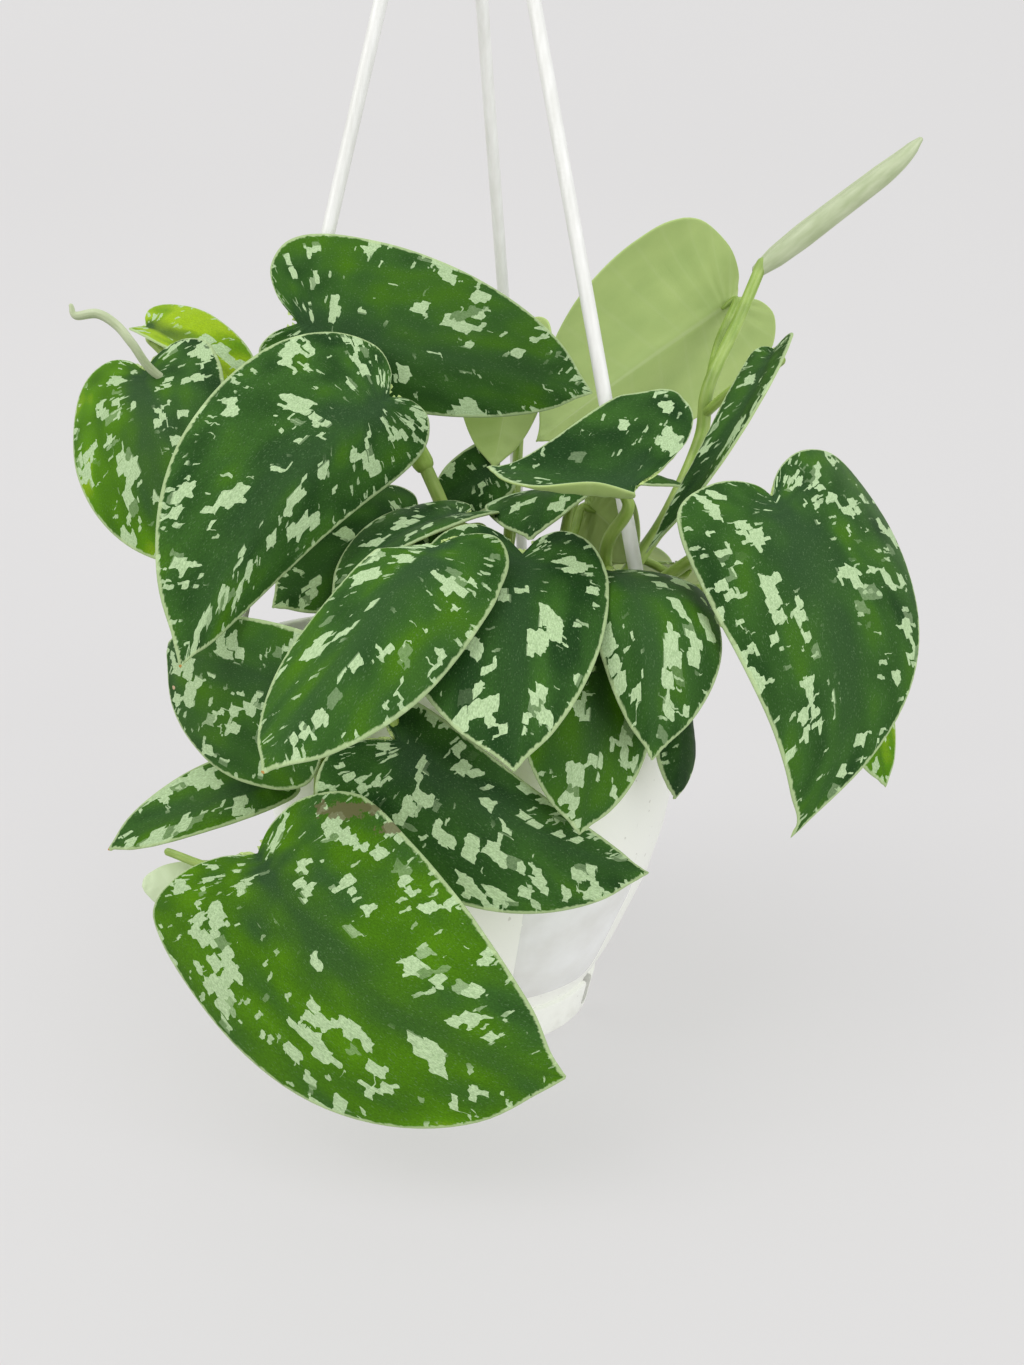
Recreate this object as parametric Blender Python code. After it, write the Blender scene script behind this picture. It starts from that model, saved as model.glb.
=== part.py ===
# Satin pothos (Scindapsus pictus) in a hanging pot that stands on its foot.
# Metres, +Z up, origin at the centre of the pot's underside, front towards -Y.
# Sizes are in millimetres, as a plant is measured with a ruler; addMesh turns them to metres.
import math

import bmesh
import bpy
import numpy as np

MM = 0.001
GAP = 0.3
WELD = 0.001
CRISP_ANGLE = 35

POT_HEIGHT = 115
POT_SEGMENTS = 36
RIM_RADIUS = 68
RIM_INNER = 63.6
RIM_LOW = 108
RIM_EDGE = 0.8
SLOT_INNER = 31
SLOT_OUTER = 43
FLOOR_TOP = 2.4
# Outer wall of the pot: height and radius, from foot to rim.
POT_OUTSIDE = [
    (0, 36.0), (1, 36.6), (10, 38.8), (11, 39.2), (11.4, 37.6), (16, 40.4), (24, 44.8),
    (32, 48.4), (46, 54.6), (60, 58.8), (76, 61.8), (92, 63.6), (108, 65.2),
]
# Inner wall, measured the same way; the soil follows it with a small clearance.
POT_INSIDE = [(2.4, 32.5), (11, 35.4), (16, 38.2), (32, 46.2), (60, 56.8), (108, 63.2)]
SLOT_COUNT = 4
SLOT_FIRST_ANGLE = -22
SLOT_WIDTH = 5
SLOT_BOTTOM = 3
SLOT_TOP = 14

SOIL_TOP = 101
SOIL_DOME = 1.5
SIDE_CLEARANCE = 0.4
SIDE_SLOPE = 0.13
STEM_DEPTH = 10
STRAIGHT_ABOVE = 2.5
HOLE_SIDES = 12
HOLE_OVER = 4

ROD_RADIUS = 1.85
ROD_SIDES = 10
ROD_FOOT_RADIUS = 67.2
ROD_FOOT_HEIGHT = 118
ROD_CROSSING = 371
ROD_HEAD = 359
# Name, angle on the rim in degrees, sideways place of the crossing in millimetres.
RODS = [("rod_left", 194, 1.6), ("rod_back", 75, -2.0), ("rod_right", -45, 0.8)]
CLIP_WIDTH = 8
CLIP_INNER = 64.4
CLIP_OUTER = 70.2
CLIP_ABOVE = 3
CLIP_BELOW = 3
HUB_BOTTOM = 353
HUB_TOP = 363
HUB_RADIUS = 10.5
HUB_EDGE = 1.5
HUB_SIDES = 20
SOCKET_LENGTH = 12
HOOK_WIRE = 2.4
HOOK_BEND = 13
HOOK_SHANK = 14
HOOK_START = 270
HOOK_SWEEP = 285
HOOK_STEPS = 12
HOOK_SIDES = 8

BLADE_THICKNESS = 0.7
BLADE_ROWS = 8
BLADE_HALF_COLUMNS = 3
SMALL_WIDTH = 36
SMALL_ROWS = 7
SMALL_HALF_COLUMNS = 2
VEE_ROUNDING = 0.02
SMALLEST = 1e-6
PETIOLE_SIDES = 6
PETIOLE_THICK = 1.5
PETIOLE_THIN = 1.0
PETIOLE_UNDER = 7
PETIOLE_SHARE = 0.2
PETIOLE_DROP = 1.35
STEM_SIDES = 8

# Half outline of a heart-shaped blade: share of the half width, share of the length.
HALF_OUTLINE = [
    (0.05, -0.015), (0.25, -0.07), (0.52, -0.115), (0.80, -0.07), (0.96, 0.05), (1.0, 0.19),
    (0.985, 0.35), (0.90, 0.53), (0.72, 0.70), (0.45, 0.85), (0.16, 0.945), (0.015, 1.0),
]
# Where on the midrib each side vein starts, as the outline is walked from notch to tip.
WALK = [0, .1, .27, .36, .45, .55, .64, .73, .82, .91, 1.0]
VEIN_START = [0, .012, .045, .07, .14, .26, .42, .6, .78, .91, 1.0]

# Each leaf: base (where the petiole meets it), tip, the way its upper side faces, width.
# arch lifts the midrib; vee and curl move the left and right edge up; bow bends it sideways.
# sweep moves each half's widest place towards the base; taper narrows it towards the tip.
LEAVES = {
    "top": dict(
        base=(-44, -20, 201), tip=(36, 5, 185), face=(.1, -.93, .08), width=56,
        arch=6, vee=(-1, -6), curl=(-4, -3), lobe=.8, halves=(.93, .62), taper=(.1, 0)),
    "upper_left": dict(
        base=(-19, -28, 182), tip=(-63, -74, 119), face=(.3, -.88, .3), width=66,
        arch=4, vee=(-16, -1), curl=(-5, -5), bow=7, swing=.2, halves=(.6, .87), lobes=(.8, .9),
        sweep=(-.1, 0), taper=(.45, .1)),
    "far_left": dict(
        base=(-92, 0, 191), tip=(-69, -28, 138), face=(-.25, -.85, .3), width=56,
        arch=4, vee=(-2, -2), curl=(-3, -3), bow=4, halves=(.85, 1), taper=(0, .15)),
    "far_left_young": dict(
        base=(-98, 22, 206), tip=(-63, 14, 182), face=(.2, -.6, .7), width=32,
        arch=4, vee=(4, 8), curl=(-3, -3), halves=(1, .5), lobes=(1, .2)),
    "front_left": dict(
        base=(-4, -72, 147), tip=(-38, -104, 103), face=(-.1, -.75, .6), width=39,
        arch=4, vee=(-5, 0), curl=(-3, -3), halves=(.74, .6), lobes=(1.5, 0), sweep=(0, -.15),
        taper=(-.25, 0)),
    "front_centre": dict(
        base=(15, -61, 144), tip=(13, -96, 101), face=(.1, -.75, .65), width=43,
        arch=4, vee=(-1, -1), curl=(-1, -3), lobe=1.5, halves=(1, 1.18), taper=(.25, .1)),
    "front_right": dict(
        base=(-14, -77, 103), tip=(46, -68, 67), face=(-.1, -.88, .42), width=50,
        arch=4, vee=(-3, -2), curl=(-2, -2), bow=4, halves=(.45, 1.05), taper=(.35, .2)),
    "low_front": dict(
        base=(-44, -89, 80), tip=(24, -106, 36), face=(-.2, -.97, .15), width=63,
        arch=5, vee=(-6, -2), curl=(-4, -3), bow=8, halves=(.91, 1.14), lobes=(.6, .45),
        taper=(.05, .05), sweep=(-.05, .03)),
    "low_left": dict(
        base=(-48, -54, 86), tip=(-91, -55, 68), face=(-.2, -.75, .6), width=30,
        arch=3, vee=(-2, -2), curl=(-2, -2), halves=(.5, .85)),
    "mid_left": dict(
        base=(-35, -74, 114), tip=(-76, -44, 119), face=(-.66, -.72, .2), width=66,
        arch=4, vee=(-1, -4), curl=(-3, -4), halves=(.78, .4), fullness=.8),
    "inner_left": dict(
        base=(0, -25, 152), tip=(-33, -48, 131), face=(-.2, -.3, .95), width=26,
        arch=5, vee=(4, 4), curl=(-2, -2)),
    "inner_left_low": dict(
        base=(-14, -20, 150), tip=(-50, -38, 128), face=(-.1, -.9, .4), width=34,
        arch=4, vee=(-2, -2), curl=(-2, -2)),
    "inner_centre": dict(
        base=(28, -8, 158), tip=(17, -43, 146), face=(-.3, -.3, .9), width=28,
        arch=5, vee=(2, 2), curl=(-2, -2)),
    "centre_curled": dict(
        base=(42, -57, 160), tip=(7, -71, 164), face=(0, -.45, .9), width=44,
        arch=-1, vee=(-4, 18), curl=(34, -2), halves=(.6, 1.05), lobes=(0, 1.5), taper=(0, .5),
        sweep=(-.2, .5)),
    "back_right_tall": dict(
        base=(84, 45, 217), tip=(20, 32, 172), face=(.1, .95, .35), width=58,
        arch=3, vee=(-2, 8), curl=(-4, -2), halves=(1.2, .95), lobes=(.8, 1), fullness=1.2,
        sweep=(-.08, 0), taper=(.1, 0)),
    "right_narrow": dict(
        base=(87, 2, 197), tip=(47, -35, 142), face=(-.8, -.45, .3), width=17,
        arch=2, vee=(3, 3), curl=(-1, -1), bow=-8, bow_skew=.6, swing=.5, lobe=.3),
    "right_large": dict(
        base=(74.5, -56, 157), tip=(76, -82, 81), face=(.25, -.95, .2), width=56,
        arch=6, vee=(-2, -2), curl=(-4, -4), bow=-12, bow_skew=1, swing=0,
        halves=(1.45, 1.05), lobes=(.8, .6), taper=(.5, .3), sweep=(.2, -.08), fullness=1.3),
    "right_over_rim": dict(
        base=(37, -52, 139), tip=(44, -81, 99), face=(.15, -.6, .8), width=36,
        arch=12, vee=(-1, -12), curl=(-3, -3), arch_skew=-.6, halves=(1.25, .6), lobes=(.3, 1)),
    "front_low_right": dict(
        base=(34, -62, 120), tip=(28, -80, 81), face=(.2, -.9, .4), width=38,
        arch=4, vee=(-1, -1), curl=(-2, -2), halves=(.75, 1)),
    "right_low": dict(
        base=(55, -50, 103), tip=(54, -54, 81), face=(.7, -.7, .1), width=18,
        arch=2, vee=(-1, -1), curl=(-2, -2)),
    "far_right_young": dict(
        base=(103, -22, 118), tip=(115, -34, 78), face=(.5, -.8, .1), width=28,
        arch=2, vee=(-1, -1), curl=(-2, -2)),
    "low_left_pale": dict(
        base=(-46, -57, 56), tip=(-80, -62, 62), face=(-.2, -.85, .5), width=16,
        arch=2, vee=(-1, -1), curl=(-2, -2), lobe=.3, fullness=.5),
    "back_cupped": dict(
        base=(13, 18, 202), tip=(7, 6, 164), face=(-.3, -.9, .1), width=28,
        arch=-2, vee=(5, 5), curl=(2, 2)),
    "inner_right_thin": dict(
        base=(35, 2, 163), tip=(66, 8, 158), face=(0, -.2, .98), width=20,
        arch=2, vee=(-1, -1), curl=(-1, -1)),
    "inner_back": dict(
        base=(8, 8, 164), tip=(-12, 14, 150), face=(-.1, -.9, .3), width=20,
        arch=2, vee=(1, 1), curl=(-1, -1)),
    "inner_back_right": dict(
        base=(36, 19, 153), tip=(50, 5, 137), face=(.3, .8, .4), width=26,
        arch=2, vee=(1, 1), curl=(-1, -1)),
    "back_right": dict(
        base=(45, 60, 138), tip=(58, 104, 94), face=(.15, .7, .7), width=46,
        arch=9, vee=(-2, -2), curl=(-3, -3)),
    "back_left": dict(
        base=(-22, 58, 136), tip=(-48, 104, 96), face=(-.2, .7, .7), width=60,
        arch=8, vee=(-2, -2), curl=(-3, -3)),
    "left_back": dict(
        base=(-52, 30, 150), tip=(-88, 62, 132), face=(-.6, .3, .7), width=46,
        arch=7, vee=(-2, -2), curl=(-3, -3)),
    "back_low": dict(
        base=(-13, 66, 122), tip=(-14, 102, 66), face=(0, .85, .5), width=44,
        arch=8, vee=(-2, -2), curl=(-3, -3)),
    "right_back": dict(
        base=(66, 26, 134), tip=(98, 40, 100), face=(.6, .4, .6), width=42,
        arch=7, vee=(-2, -2), curl=(-3, -3)),
}

# Each leafy stem: its foot in the soil, its route upward, a radius at each end, its petioles.
# A petiole starts inside the stem and ends at the named leaf; a shoot carries no blade.
STEMS = {
    "stem_upper_left": dict(
        foot=(-2, -6), route=[(-3, -8, 125), (-5, -12, 147), (-13, -16, 168)], radius=(2.3, 1.9),
        petioles=dict(
            upper_left=[(-12, -15, 165), (-17, -21, 175)],
            far_left=[(-4, -9, 128), (-22, 8, 147), (-50, 12, 166), (-80, 6, 183)],
            far_left_young=[(-55, 11, 168), (-80, 20, 184), (-95, 25, 199)]),
        shoots=[dict(route=[(-78, 5, 182), (-88, -4, 190), (-92, -8, 197), (-96, -8, 202),
                            (-101, -8, 205), (-107, -8, 204.5), (-108, -8, 207)],
                     radius=(1.4, .7))]),
    "stem_top": dict(
        foot=(-16, 8), route=[(-18, 4, 125), (-23, -3, 150), (-33, -5, 176)], radius=(2.0, 1.5),
        petioles=dict(top=[(-31, -5, 170), (-41, -13, 190)])),
    "stem_back_right_tall": dict(
        foot=(38, 10), route=[(44, 13, 125), (60, 20, 148), (71, 25, 172), (73, 25, 188),
                              (82, 28, 208), (89, 30, 225)], radius=(2.6, 1.8),
        petioles=dict(
            back_right_tall=[(73, 26, 187), (78, 36, 203)],
            right_narrow=[(72, 25, 180), (79, 14, 187)]),
        shoots=[dict(route=[(88, 30, 223), (108, 25, 238), (124, 21, 250), (131, 20, 257)],
                     radius=(3.5, .8))]),
    "stem_right": dict(
        foot=(30, -14), route=[(34, -15, 118), (52, -20, 132), (70, -32, 147)], radius=(2.2, 1.7),
        petioles=dict(
            right_large=[(65, -28, 143), (72, -43, 152)],
            far_right_young=[(48, -19, 128), (78, -14, 130)])),
    "stem_inner_right": dict(
        foot=(20, 4), route=[(24, 2, 122), (27, 3, 136)], radius=(2.0, 1.5),
        petioles=dict(
            inner_centre=[(24, 2, 124), (28, -4, 147)],
            inner_right_thin=[(26, 3, 132), (30, 3, 152)],
            inner_back_right=[(26, 3, 128), (32, 14, 146)])),
    "stem_front": dict(
        foot=(6, -36), route=[(7, -38, 116), (9, -42, 130)], radius=(2.2, 1.6),
        petioles=dict(
            front_left=[(8, -40, 124), (2, -57, 140)],
            front_centre=[(9, -41, 127), (14, -50, 138)])),
    "stem_front_right": dict(
        foot=(-8, -44), route=[(-9, -50, 112), (-11, -58, 121)], radius=(2.0, 1.6),
        petioles=dict(front_right=[(-10, -55, 118), (-13, -68, 123), (-15, -77, 115)])),
    "stem_front_low": dict(
        foot=(22, -42), route=[(24, -47, 112), (27, -51, 120)], radius=(1.8, 1.5),
        petioles=dict(
            front_low_right=[(26, -50, 118), (31, -56, 125)])),
    "stem_low_left": dict(
        foot=(-26, -36), route=[(-29, -41, 112), (-37, -52, 121)], radius=(2.3, 1.8),
        petioles=dict(
            low_front=[(-35, -49, 119), (-38, -61, 117), (-33, -67, 97), (-33, -74, 80),
                       (-39, -82, 75)],
            mid_left=[(-34, -48, 118), (-33, -62, 121)],
            low_left=[(-35, -49, 119), (-42, -57, 119), (-49, -58, 104)],
            low_left_pale=[(-33, -67, 97), (-35, -62, 82), (-38, -57, 64)]),
        shoots=[dict(route=[(-33, -67, 97), (-36, -62, 80), (-46, -63, 68), (-60, -65, 67),
                            (-73, -62, 70)], radius=(1.4, 1.1))]),
    "stem_right_front": dict(
        foot=(38, -26), route=[(39, -28, 118), (38, -36, 132)], radius=(2.2, 1.7),
        petioles=dict(
            right_over_rim=[(38, -34, 129), (37, -44, 138)],
            centre_curled=[(38, -34, 129), (36, -46, 144), (40, -54, 153)],
            right_low=[(39, -28, 118), (52, -32, 124), (61, -40, 118), (60, -46, 108)])),
    "stem_inner_left": dict(
        foot=(4, -19), route=[(4, -20, 120), (4, -21, 134)], radius=(1.9, 1.5),
        petioles=dict(
            inner_left=[(4, -21, 130), (5, -21, 146)],
            inner_left_low=[(4, -20, 124), (-8, -17, 141)])),
    "stem_inner_back": dict(
        foot=(8, 14), route=[(9, 16, 125), (13, 22, 150), (15, 25, 180)], radius=(2.0, 1.5),
        petioles=dict(
            back_cupped=[(15, 24, 174), (15, 22, 196)],
            inner_back=[(11, 18, 138), (12, 10, 158)])),
    "stem_back_right": dict(
        foot=(16, 30), route=[(19, 33, 117), (25, 41, 129)], radius=(2.2, 1.7),
        petioles=dict(
            back_right=[(23, 40, 127), (38, 52, 137)],
            right_back=[(20, 35, 119), (48, 32, 135)])),
    "stem_back_left": dict(
        foot=(-12, 30), route=[(-14, 37, 118), (-17, 46, 127)], radius=(2.2, 1.7),
        petioles=dict(
            back_left=[(-16, 44, 125), (-21, 53, 134)],
            left_back=[(-14, 37, 118), (-34, 35, 140)],
            back_low=[(-15, 40, 121), (-13, 56, 127)])),
}


def smoothCurve(points, count):
    """Catmull-Rom curve through the points, read at count even steps."""
    points = np.asarray(points, float)
    spans = len(points) - 1
    walk = np.linspace(0, spans, count)
    index = np.minimum(walk.astype(int), spans - 1)
    u = (walk - index)[:, None]
    ends = np.vstack([2 * points[0] - points[1], points, 2 * points[-1] - points[-2]])
    a, b, c, d = ends[index], ends[index + 1], ends[index + 2], ends[index + 3]
    return 0.5 * (2 * b + (c - a) * u + (2 * a - 5 * b + 4 * c - d) * u ** 2
                  + (3 * b - a - 3 * c + d) * u ** 3)


def unit(vector):
    vector = np.asarray(vector, float)
    return vector / np.linalg.norm(vector)


def leafFrame(leaf):
    """Base point, along, across and up directions, and length of one leaf, in millimetres."""
    base = np.asarray(leaf["base"], float)
    along = np.asarray(leaf["tip"], float) - base
    length = np.linalg.norm(along)
    along = along / length
    face = np.asarray(leaf["face"], float)
    up = unit(face - along * (face @ along))
    return base, along, np.cross(along, up), up, length


def bladeGrid(leaf, rows, columns):
    """Upper face of a blade: each row runs from the left margin over the midrib to the right.

    The margin follows the half outline; side veins start lower down on the midrib.
    Height = arch * 4y(1-y) + vee * |x| (rounded at the midrib) + curl * |x| cubed.
    """
    base, along, across, up, length = leafFrame(leaf)
    left, right = leaf.get("halves", (1, 1))
    lobe = leaf.get("lobe", 1)
    lobes = leaf.get("lobes", (1, 1))
    outline = smoothCurve(HALF_OUTLINE, rows + 1)
    reach = np.clip(outline[:, 0], 0, None) ** leaf.get("fullness", 1)
    s = np.linspace(-1, 1, 2 * columns + 1)[None, :]
    rightSide = s > 0
    backward = np.where(rightSide, lobes[1], lobes[0]) * lobe
    margin = outline[:, 1:2]
    margin = np.where(margin < 0, margin * backward, margin)
    midrib = np.interp(np.linspace(0, 1, rows + 1), WALK, VEIN_START)[:, None]
    sweep = np.where(rightSide, *leaf.get("sweep", (0, 0))[::-1])
    y = midrib * (1 - abs(s)) + (margin - sweep * reach[:, None]) * abs(s)
    taper = np.where(rightSide, *leaf.get("taper", (0, 0))[::-1])
    x = reach[:, None] * s * np.where(rightSide, right, left) * (1 - taper * np.clip(y, 0, 1))
    vee = np.where(rightSide, leaf["vee"][1], leaf["vee"][0])
    curl = np.where(rightSide, leaf["curl"][1], leaf["curl"][0])
    inside = np.clip(y, -0.3, 1.05)
    height = vee * (np.sqrt(x ** 2 + VEE_ROUNDING) - math.sqrt(VEE_ROUNDING))
    height = height + curl * abs(x) ** 3
    skew = 1 + leaf.get("arch_skew", 0) * (inside - 0.5)
    height = height + leaf["arch"] * 4 * inside * (1 - inside) * skew
    bow = leaf.get("bow", 0)
    bowSkew = leaf.get("bow_skew", 0)
    yb = np.clip(y, 0, 1)
    bend = bow * 4 * yb * (1 - yb) * (1 + bowSkew * (yb - 0.5))
    slope = bow * (4 * (1 - 2 * yb) * (1 + bowSkew * (yb - 0.5)) + 4 * yb * (1 - yb) * bowSkew)
    bend = bend + slope * (y - yb)
    turn = np.arctan2(slope, length) * leaf.get("swing", 1)
    x = x * leaf["width"] / 2
    sideways = bend + x * np.cos(turn)
    forward = y * length - x * np.sin(turn)
    return (base + forward[..., None] * along + sideways[..., None] * across
            + height[..., None] * up)


def addMesh(name, points, faces):
    """An object from points in millimetres."""
    mesh = bpy.data.meshes.new(name)
    mesh.from_pydata((np.asarray(points, float) * MM).tolist(), [], faces)
    mesh.validate()
    thing = bpy.data.objects.new(name, mesh)
    bpy.context.scene.collection.objects.link(thing)
    return thing


def bladeSolid(name, leaf):
    """A blade of even thickness, every square split alike on both faces."""
    small = leaf["width"] < SMALL_WIDTH
    rows = SMALL_ROWS if small else BLADE_ROWS
    columns = SMALL_HALF_COLUMNS if small else BLADE_HALF_COLUMNS
    top = bladeGrid(leaf, rows, columns)
    span = 2 * columns + 1
    du = np.gradient(top, axis=0)
    dv = np.gradient(top, axis=1)
    normal = np.cross(du, dv)
    size = np.linalg.norm(normal, axis=2, keepdims=True)
    up = leafFrame(leaf)[3]
    normal = np.where(size > SMALLEST, normal / np.maximum(size, SMALLEST), up)
    normal = normal * np.where(normal @ up < 0, -1, 1)[..., None]
    normal[0] = normal[1, columns]
    normal[-1] = normal[-2, columns]
    low = top - normal * BLADE_THICKNESS
    points = np.vstack([top.reshape(-1, 3), low.reshape(-1, 3)])
    under = (rows + 1) * span
    faces = []
    for i in range(rows):
        for j in range(span - 1):
            a = i * span + j
            b = a + 1
            c = a + span + 1
            d = a + span
            faces += [(a, b, c), (a, c, d), (under + a, under + c, under + b),
                      (under + a, under + d, under + c)]
    rim = list(range(span))
    rim += [i * span + span - 1 for i in range(1, rows + 1)]
    rim += [rows * span + j for j in range(span - 2, -1, -1)]
    rim += [i * span for i in range(rows - 1, 0, -1)]
    for a, b in zip(rim, rim[1:] + rim[:1]):
        faces.append((b, a, under + a, under + b))
    return addMesh(name, points, faces)


def tube(name, path, radii, sides):
    """A round bar along a path, closed at both ends."""
    path = np.asarray(path, float)
    steps = np.gradient(path, axis=0)
    axis = unit(steps[0])
    first = np.cross(axis, (1, 0, 0) if abs(axis[0]) < 0.8 else (0, 1, 0))
    side = unit(first)
    points = []
    for place, step, radius in zip(path, steps, radii):
        axis = unit(step)
        side = unit(side - axis * (side @ axis))
        other = np.cross(axis, side)
        for k in range(sides):
            angle = 2 * math.pi * k / sides
            points.append(place + radius * (math.cos(angle) * side + math.sin(angle) * other))
    faces = [tuple(range(sides - 1, -1, -1))]
    for i in range(len(path) - 1):
        for k in range(sides):
            a = i * sides + k
            b = i * sides + (k + 1) % sides
            faces.append((a, b, b + sides, a + sides))
    last = (len(path) - 1) * sides
    faces.append(tuple(range(last, last + sides)))
    return addMesh(name, points, faces)


def turned(name, profile, sides):
    """A body turned about the pot's axis from a closed profile of (height, radius)."""
    points = []
    rings = []
    for height, radius in profile:
        if radius == 0:
            rings.append([len(points)] * sides)
            points.append((0, 0, height))
            continue
        rings.append([len(points) + k for k in range(sides)])
        for k in range(sides):
            angle = 2 * math.pi * k / sides
            points.append((radius * math.cos(angle), radius * math.sin(angle), height))
    faces = []
    for low, high in zip(rings, rings[1:] + rings[:1]):
        for k in range(sides):
            corners = [low[k], low[(k + 1) % sides], high[(k + 1) % sides], high[k]]
            face = tuple(dict.fromkeys(corners))
            if len(face) > 2:
                faces.append(face)
    return addMesh(name, points, faces)


def faceOut(thing):
    mesh = bmesh.new()
    mesh.from_mesh(thing.data)
    bmesh.ops.recalc_face_normals(mesh, faces=mesh.faces)
    mesh.to_mesh(thing.data)
    mesh.free()


def combine(thing, others, operation, solver="EXACT"):
    """Fuse the other bodies into this one, or cut them away from it."""
    faceOut(thing)
    for other in others:
        faceOut(other)
    group = bpy.data.collections.new("operands")
    for other in others:
        group.objects.link(other)
    step = thing.modifiers.new("combine", "BOOLEAN")
    step.operation = operation
    step.solver = solver
    step.operand_type = "COLLECTION"
    step.collection = group
    graph = bpy.context.evaluated_depsgraph_get()
    result = bpy.data.meshes.new_from_object(thing.evaluated_get(graph))
    thing.modifiers.clear()
    thing.data = result
    for other in others:
        bpy.data.objects.remove(other, do_unlink=True)
    bpy.data.collections.remove(group)


def finish(thing, material):
    """Weld hairline edges, turn faces outward, give the colour and shade smooth by angle."""
    mesh = bmesh.new()
    mesh.from_mesh(thing.data)
    bmesh.ops.remove_doubles(mesh, verts=mesh.verts, dist=WELD * MM)
    bmesh.ops.dissolve_degenerate(mesh, edges=mesh.edges, dist=WELD * MM)
    bmesh.ops.triangulate(mesh, faces=mesh.faces)
    bmesh.ops.recalc_face_normals(mesh, faces=mesh.faces)
    mesh.to_mesh(thing.data)
    mesh.free()
    thing.data.materials.clear()
    thing.data.materials.append(material)
    thing.data.shade_smooth()
    thing.data.set_sharp_from_angle(angle=math.radians(CRISP_ANGLE))


def plainMaterial(name, colour, roughness):
    material = bpy.data.materials.new(name)
    material.use_nodes = True
    shader = material.node_tree.nodes["Principled BSDF"]
    shader.inputs["Base Color"].default_value = (*colour, 1)
    shader.inputs["Roughness"].default_value = roughness
    shader.inputs["Metallic"].default_value = 0
    material.diffuse_color = (*colour, 1)
    return material


def holeFor(name, path, radius):
    """Cutter for a round hole with clearance all round a bar of this radius."""
    wide = (radius + GAP) / math.cos(math.pi / HOLE_SIDES)
    return tube(name, path, [wide] * len(path), HOLE_SIDES)


def box(name, low, high, angle):
    """A box between two corners, turned about the pot's axis by an angle in degrees."""
    corners = [(x, y, z) for x in (low[0], high[0]) for y in (low[1], high[1])
               for z in (low[2], high[2])]
    cosine = math.cos(math.radians(angle))
    sine = math.sin(math.radians(angle))
    turnedCorners = [(x * cosine - y * sine, x * sine + y * cosine, z) for x, y, z in corners]
    faces = [(0, 1, 3, 2), (4, 6, 7, 5), (0, 4, 5, 1), (2, 3, 7, 6), (0, 2, 6, 4), (1, 5, 7, 3)]
    return addMesh(name, turnedCorners, faces)


def buildPot(material):
    profile = [(0, 0), *POT_OUTSIDE]
    profile += [(RIM_LOW, RIM_RADIUS), (POT_HEIGHT - RIM_EDGE, RIM_RADIUS)]
    profile += [(POT_HEIGHT, RIM_RADIUS - RIM_EDGE), (POT_HEIGHT, RIM_INNER + RIM_EDGE)]
    profile += [(POT_HEIGHT - RIM_EDGE, RIM_INNER), *POT_INSIDE[::-1], (FLOOR_TOP, 0)]
    pot = turned("pot", profile, POT_SEGMENTS)
    cutters = []
    for k in range(SLOT_COUNT):
        cutters.append(box("slot", (SLOT_INNER, -SLOT_WIDTH / 2, SLOT_BOTTOM),
                           (SLOT_OUTER, SLOT_WIDTH / 2, SLOT_TOP),
                           SLOT_FIRST_ANGLE + 360 * k / SLOT_COUNT))
    combine(pot, cutters, "DIFFERENCE")
    finish(pot, material)


def buildSoil(material):
    side = [(height, radius - SIDE_CLEARANCE) for height, radius in POT_INSIDE
            if height < SOIL_TOP]
    side[0] = (FLOOR_TOP + GAP, side[0][1])
    edge = side[-1][1] + (SOIL_TOP - side[-1][0]) * SIDE_SLOPE
    profile = [(side[0][0], 0), *side, (SOIL_TOP, edge), (SOIL_TOP + SOIL_DOME, 0)]
    soil = turned("soil", profile, POT_SEGMENTS)
    cutters = []
    for stem in STEMS.values():
        x, y = stem["foot"]
        path = [(x, y, SOIL_TOP - STEM_DEPTH - GAP), (x, y, SOIL_TOP + HOLE_OVER)]
        cutters.append(holeFor("hole", path, stem["radius"][0]))
    combine(soil, cutters, "DIFFERENCE")
    finish(soil, material)


def petiolePath(start, leaf):
    """Route of a petiole: its end lies under the blade, along the midrib."""
    base, along, across, up, length = leafFrame(leaf)
    reach = min(PETIOLE_UNDER, length * PETIOLE_SHARE)
    y = reach / length
    skew = 1 + leaf.get("arch_skew", 0) * (y - 0.5)
    lift = leaf["arch"] * 4 * y * (1 - y) * skew
    under = base + along * reach + up * (lift - PETIOLE_DROP)
    return [*start, tuple(base - up * PETIOLE_DROP), tuple(under)]


def buildStem(name, stem, material):
    x, y = stem["foot"]
    above = (x, y, SOIL_TOP + STRAIGHT_ABOVE)
    rise = smoothCurve([above, *stem["route"]], 2 * len(stem["route"]) + 1)
    path = np.vstack([[(x, y, SOIL_TOP - STEM_DEPTH)], rise])
    thick, thin = stem["radius"]
    radii = np.concatenate([[thick], np.linspace(thick, thin, len(rise))])
    body = tube(name, path, radii, STEM_SIDES)
    parts = []
    for leafName, start in stem["petioles"].items():
        leaf = LEAVES[leafName]
        parts.append(bladeSolid("blade", leaf))
        route = petiolePath(start, leaf)
        path = smoothCurve(route, 2 * len(route) - 2)
        radii = np.linspace(PETIOLE_THICK, PETIOLE_THIN, len(path))
        parts.append(tube("petiole", path, radii, PETIOLE_SIDES))
    for shoot in stem.get("shoots", []):
        path = smoothCurve(shoot["route"], 2 * len(shoot["route"]))
        radii = np.linspace(*shoot["radius"], len(path))
        parts.append(tube("shoot", path, radii, PETIOLE_SIDES))
    # The exact solver leaves some thin blades apart from their petioles; this one joins them.
    combine(body, parts, "UNION", "MANIFOLD")
    finish(body, material)


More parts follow.
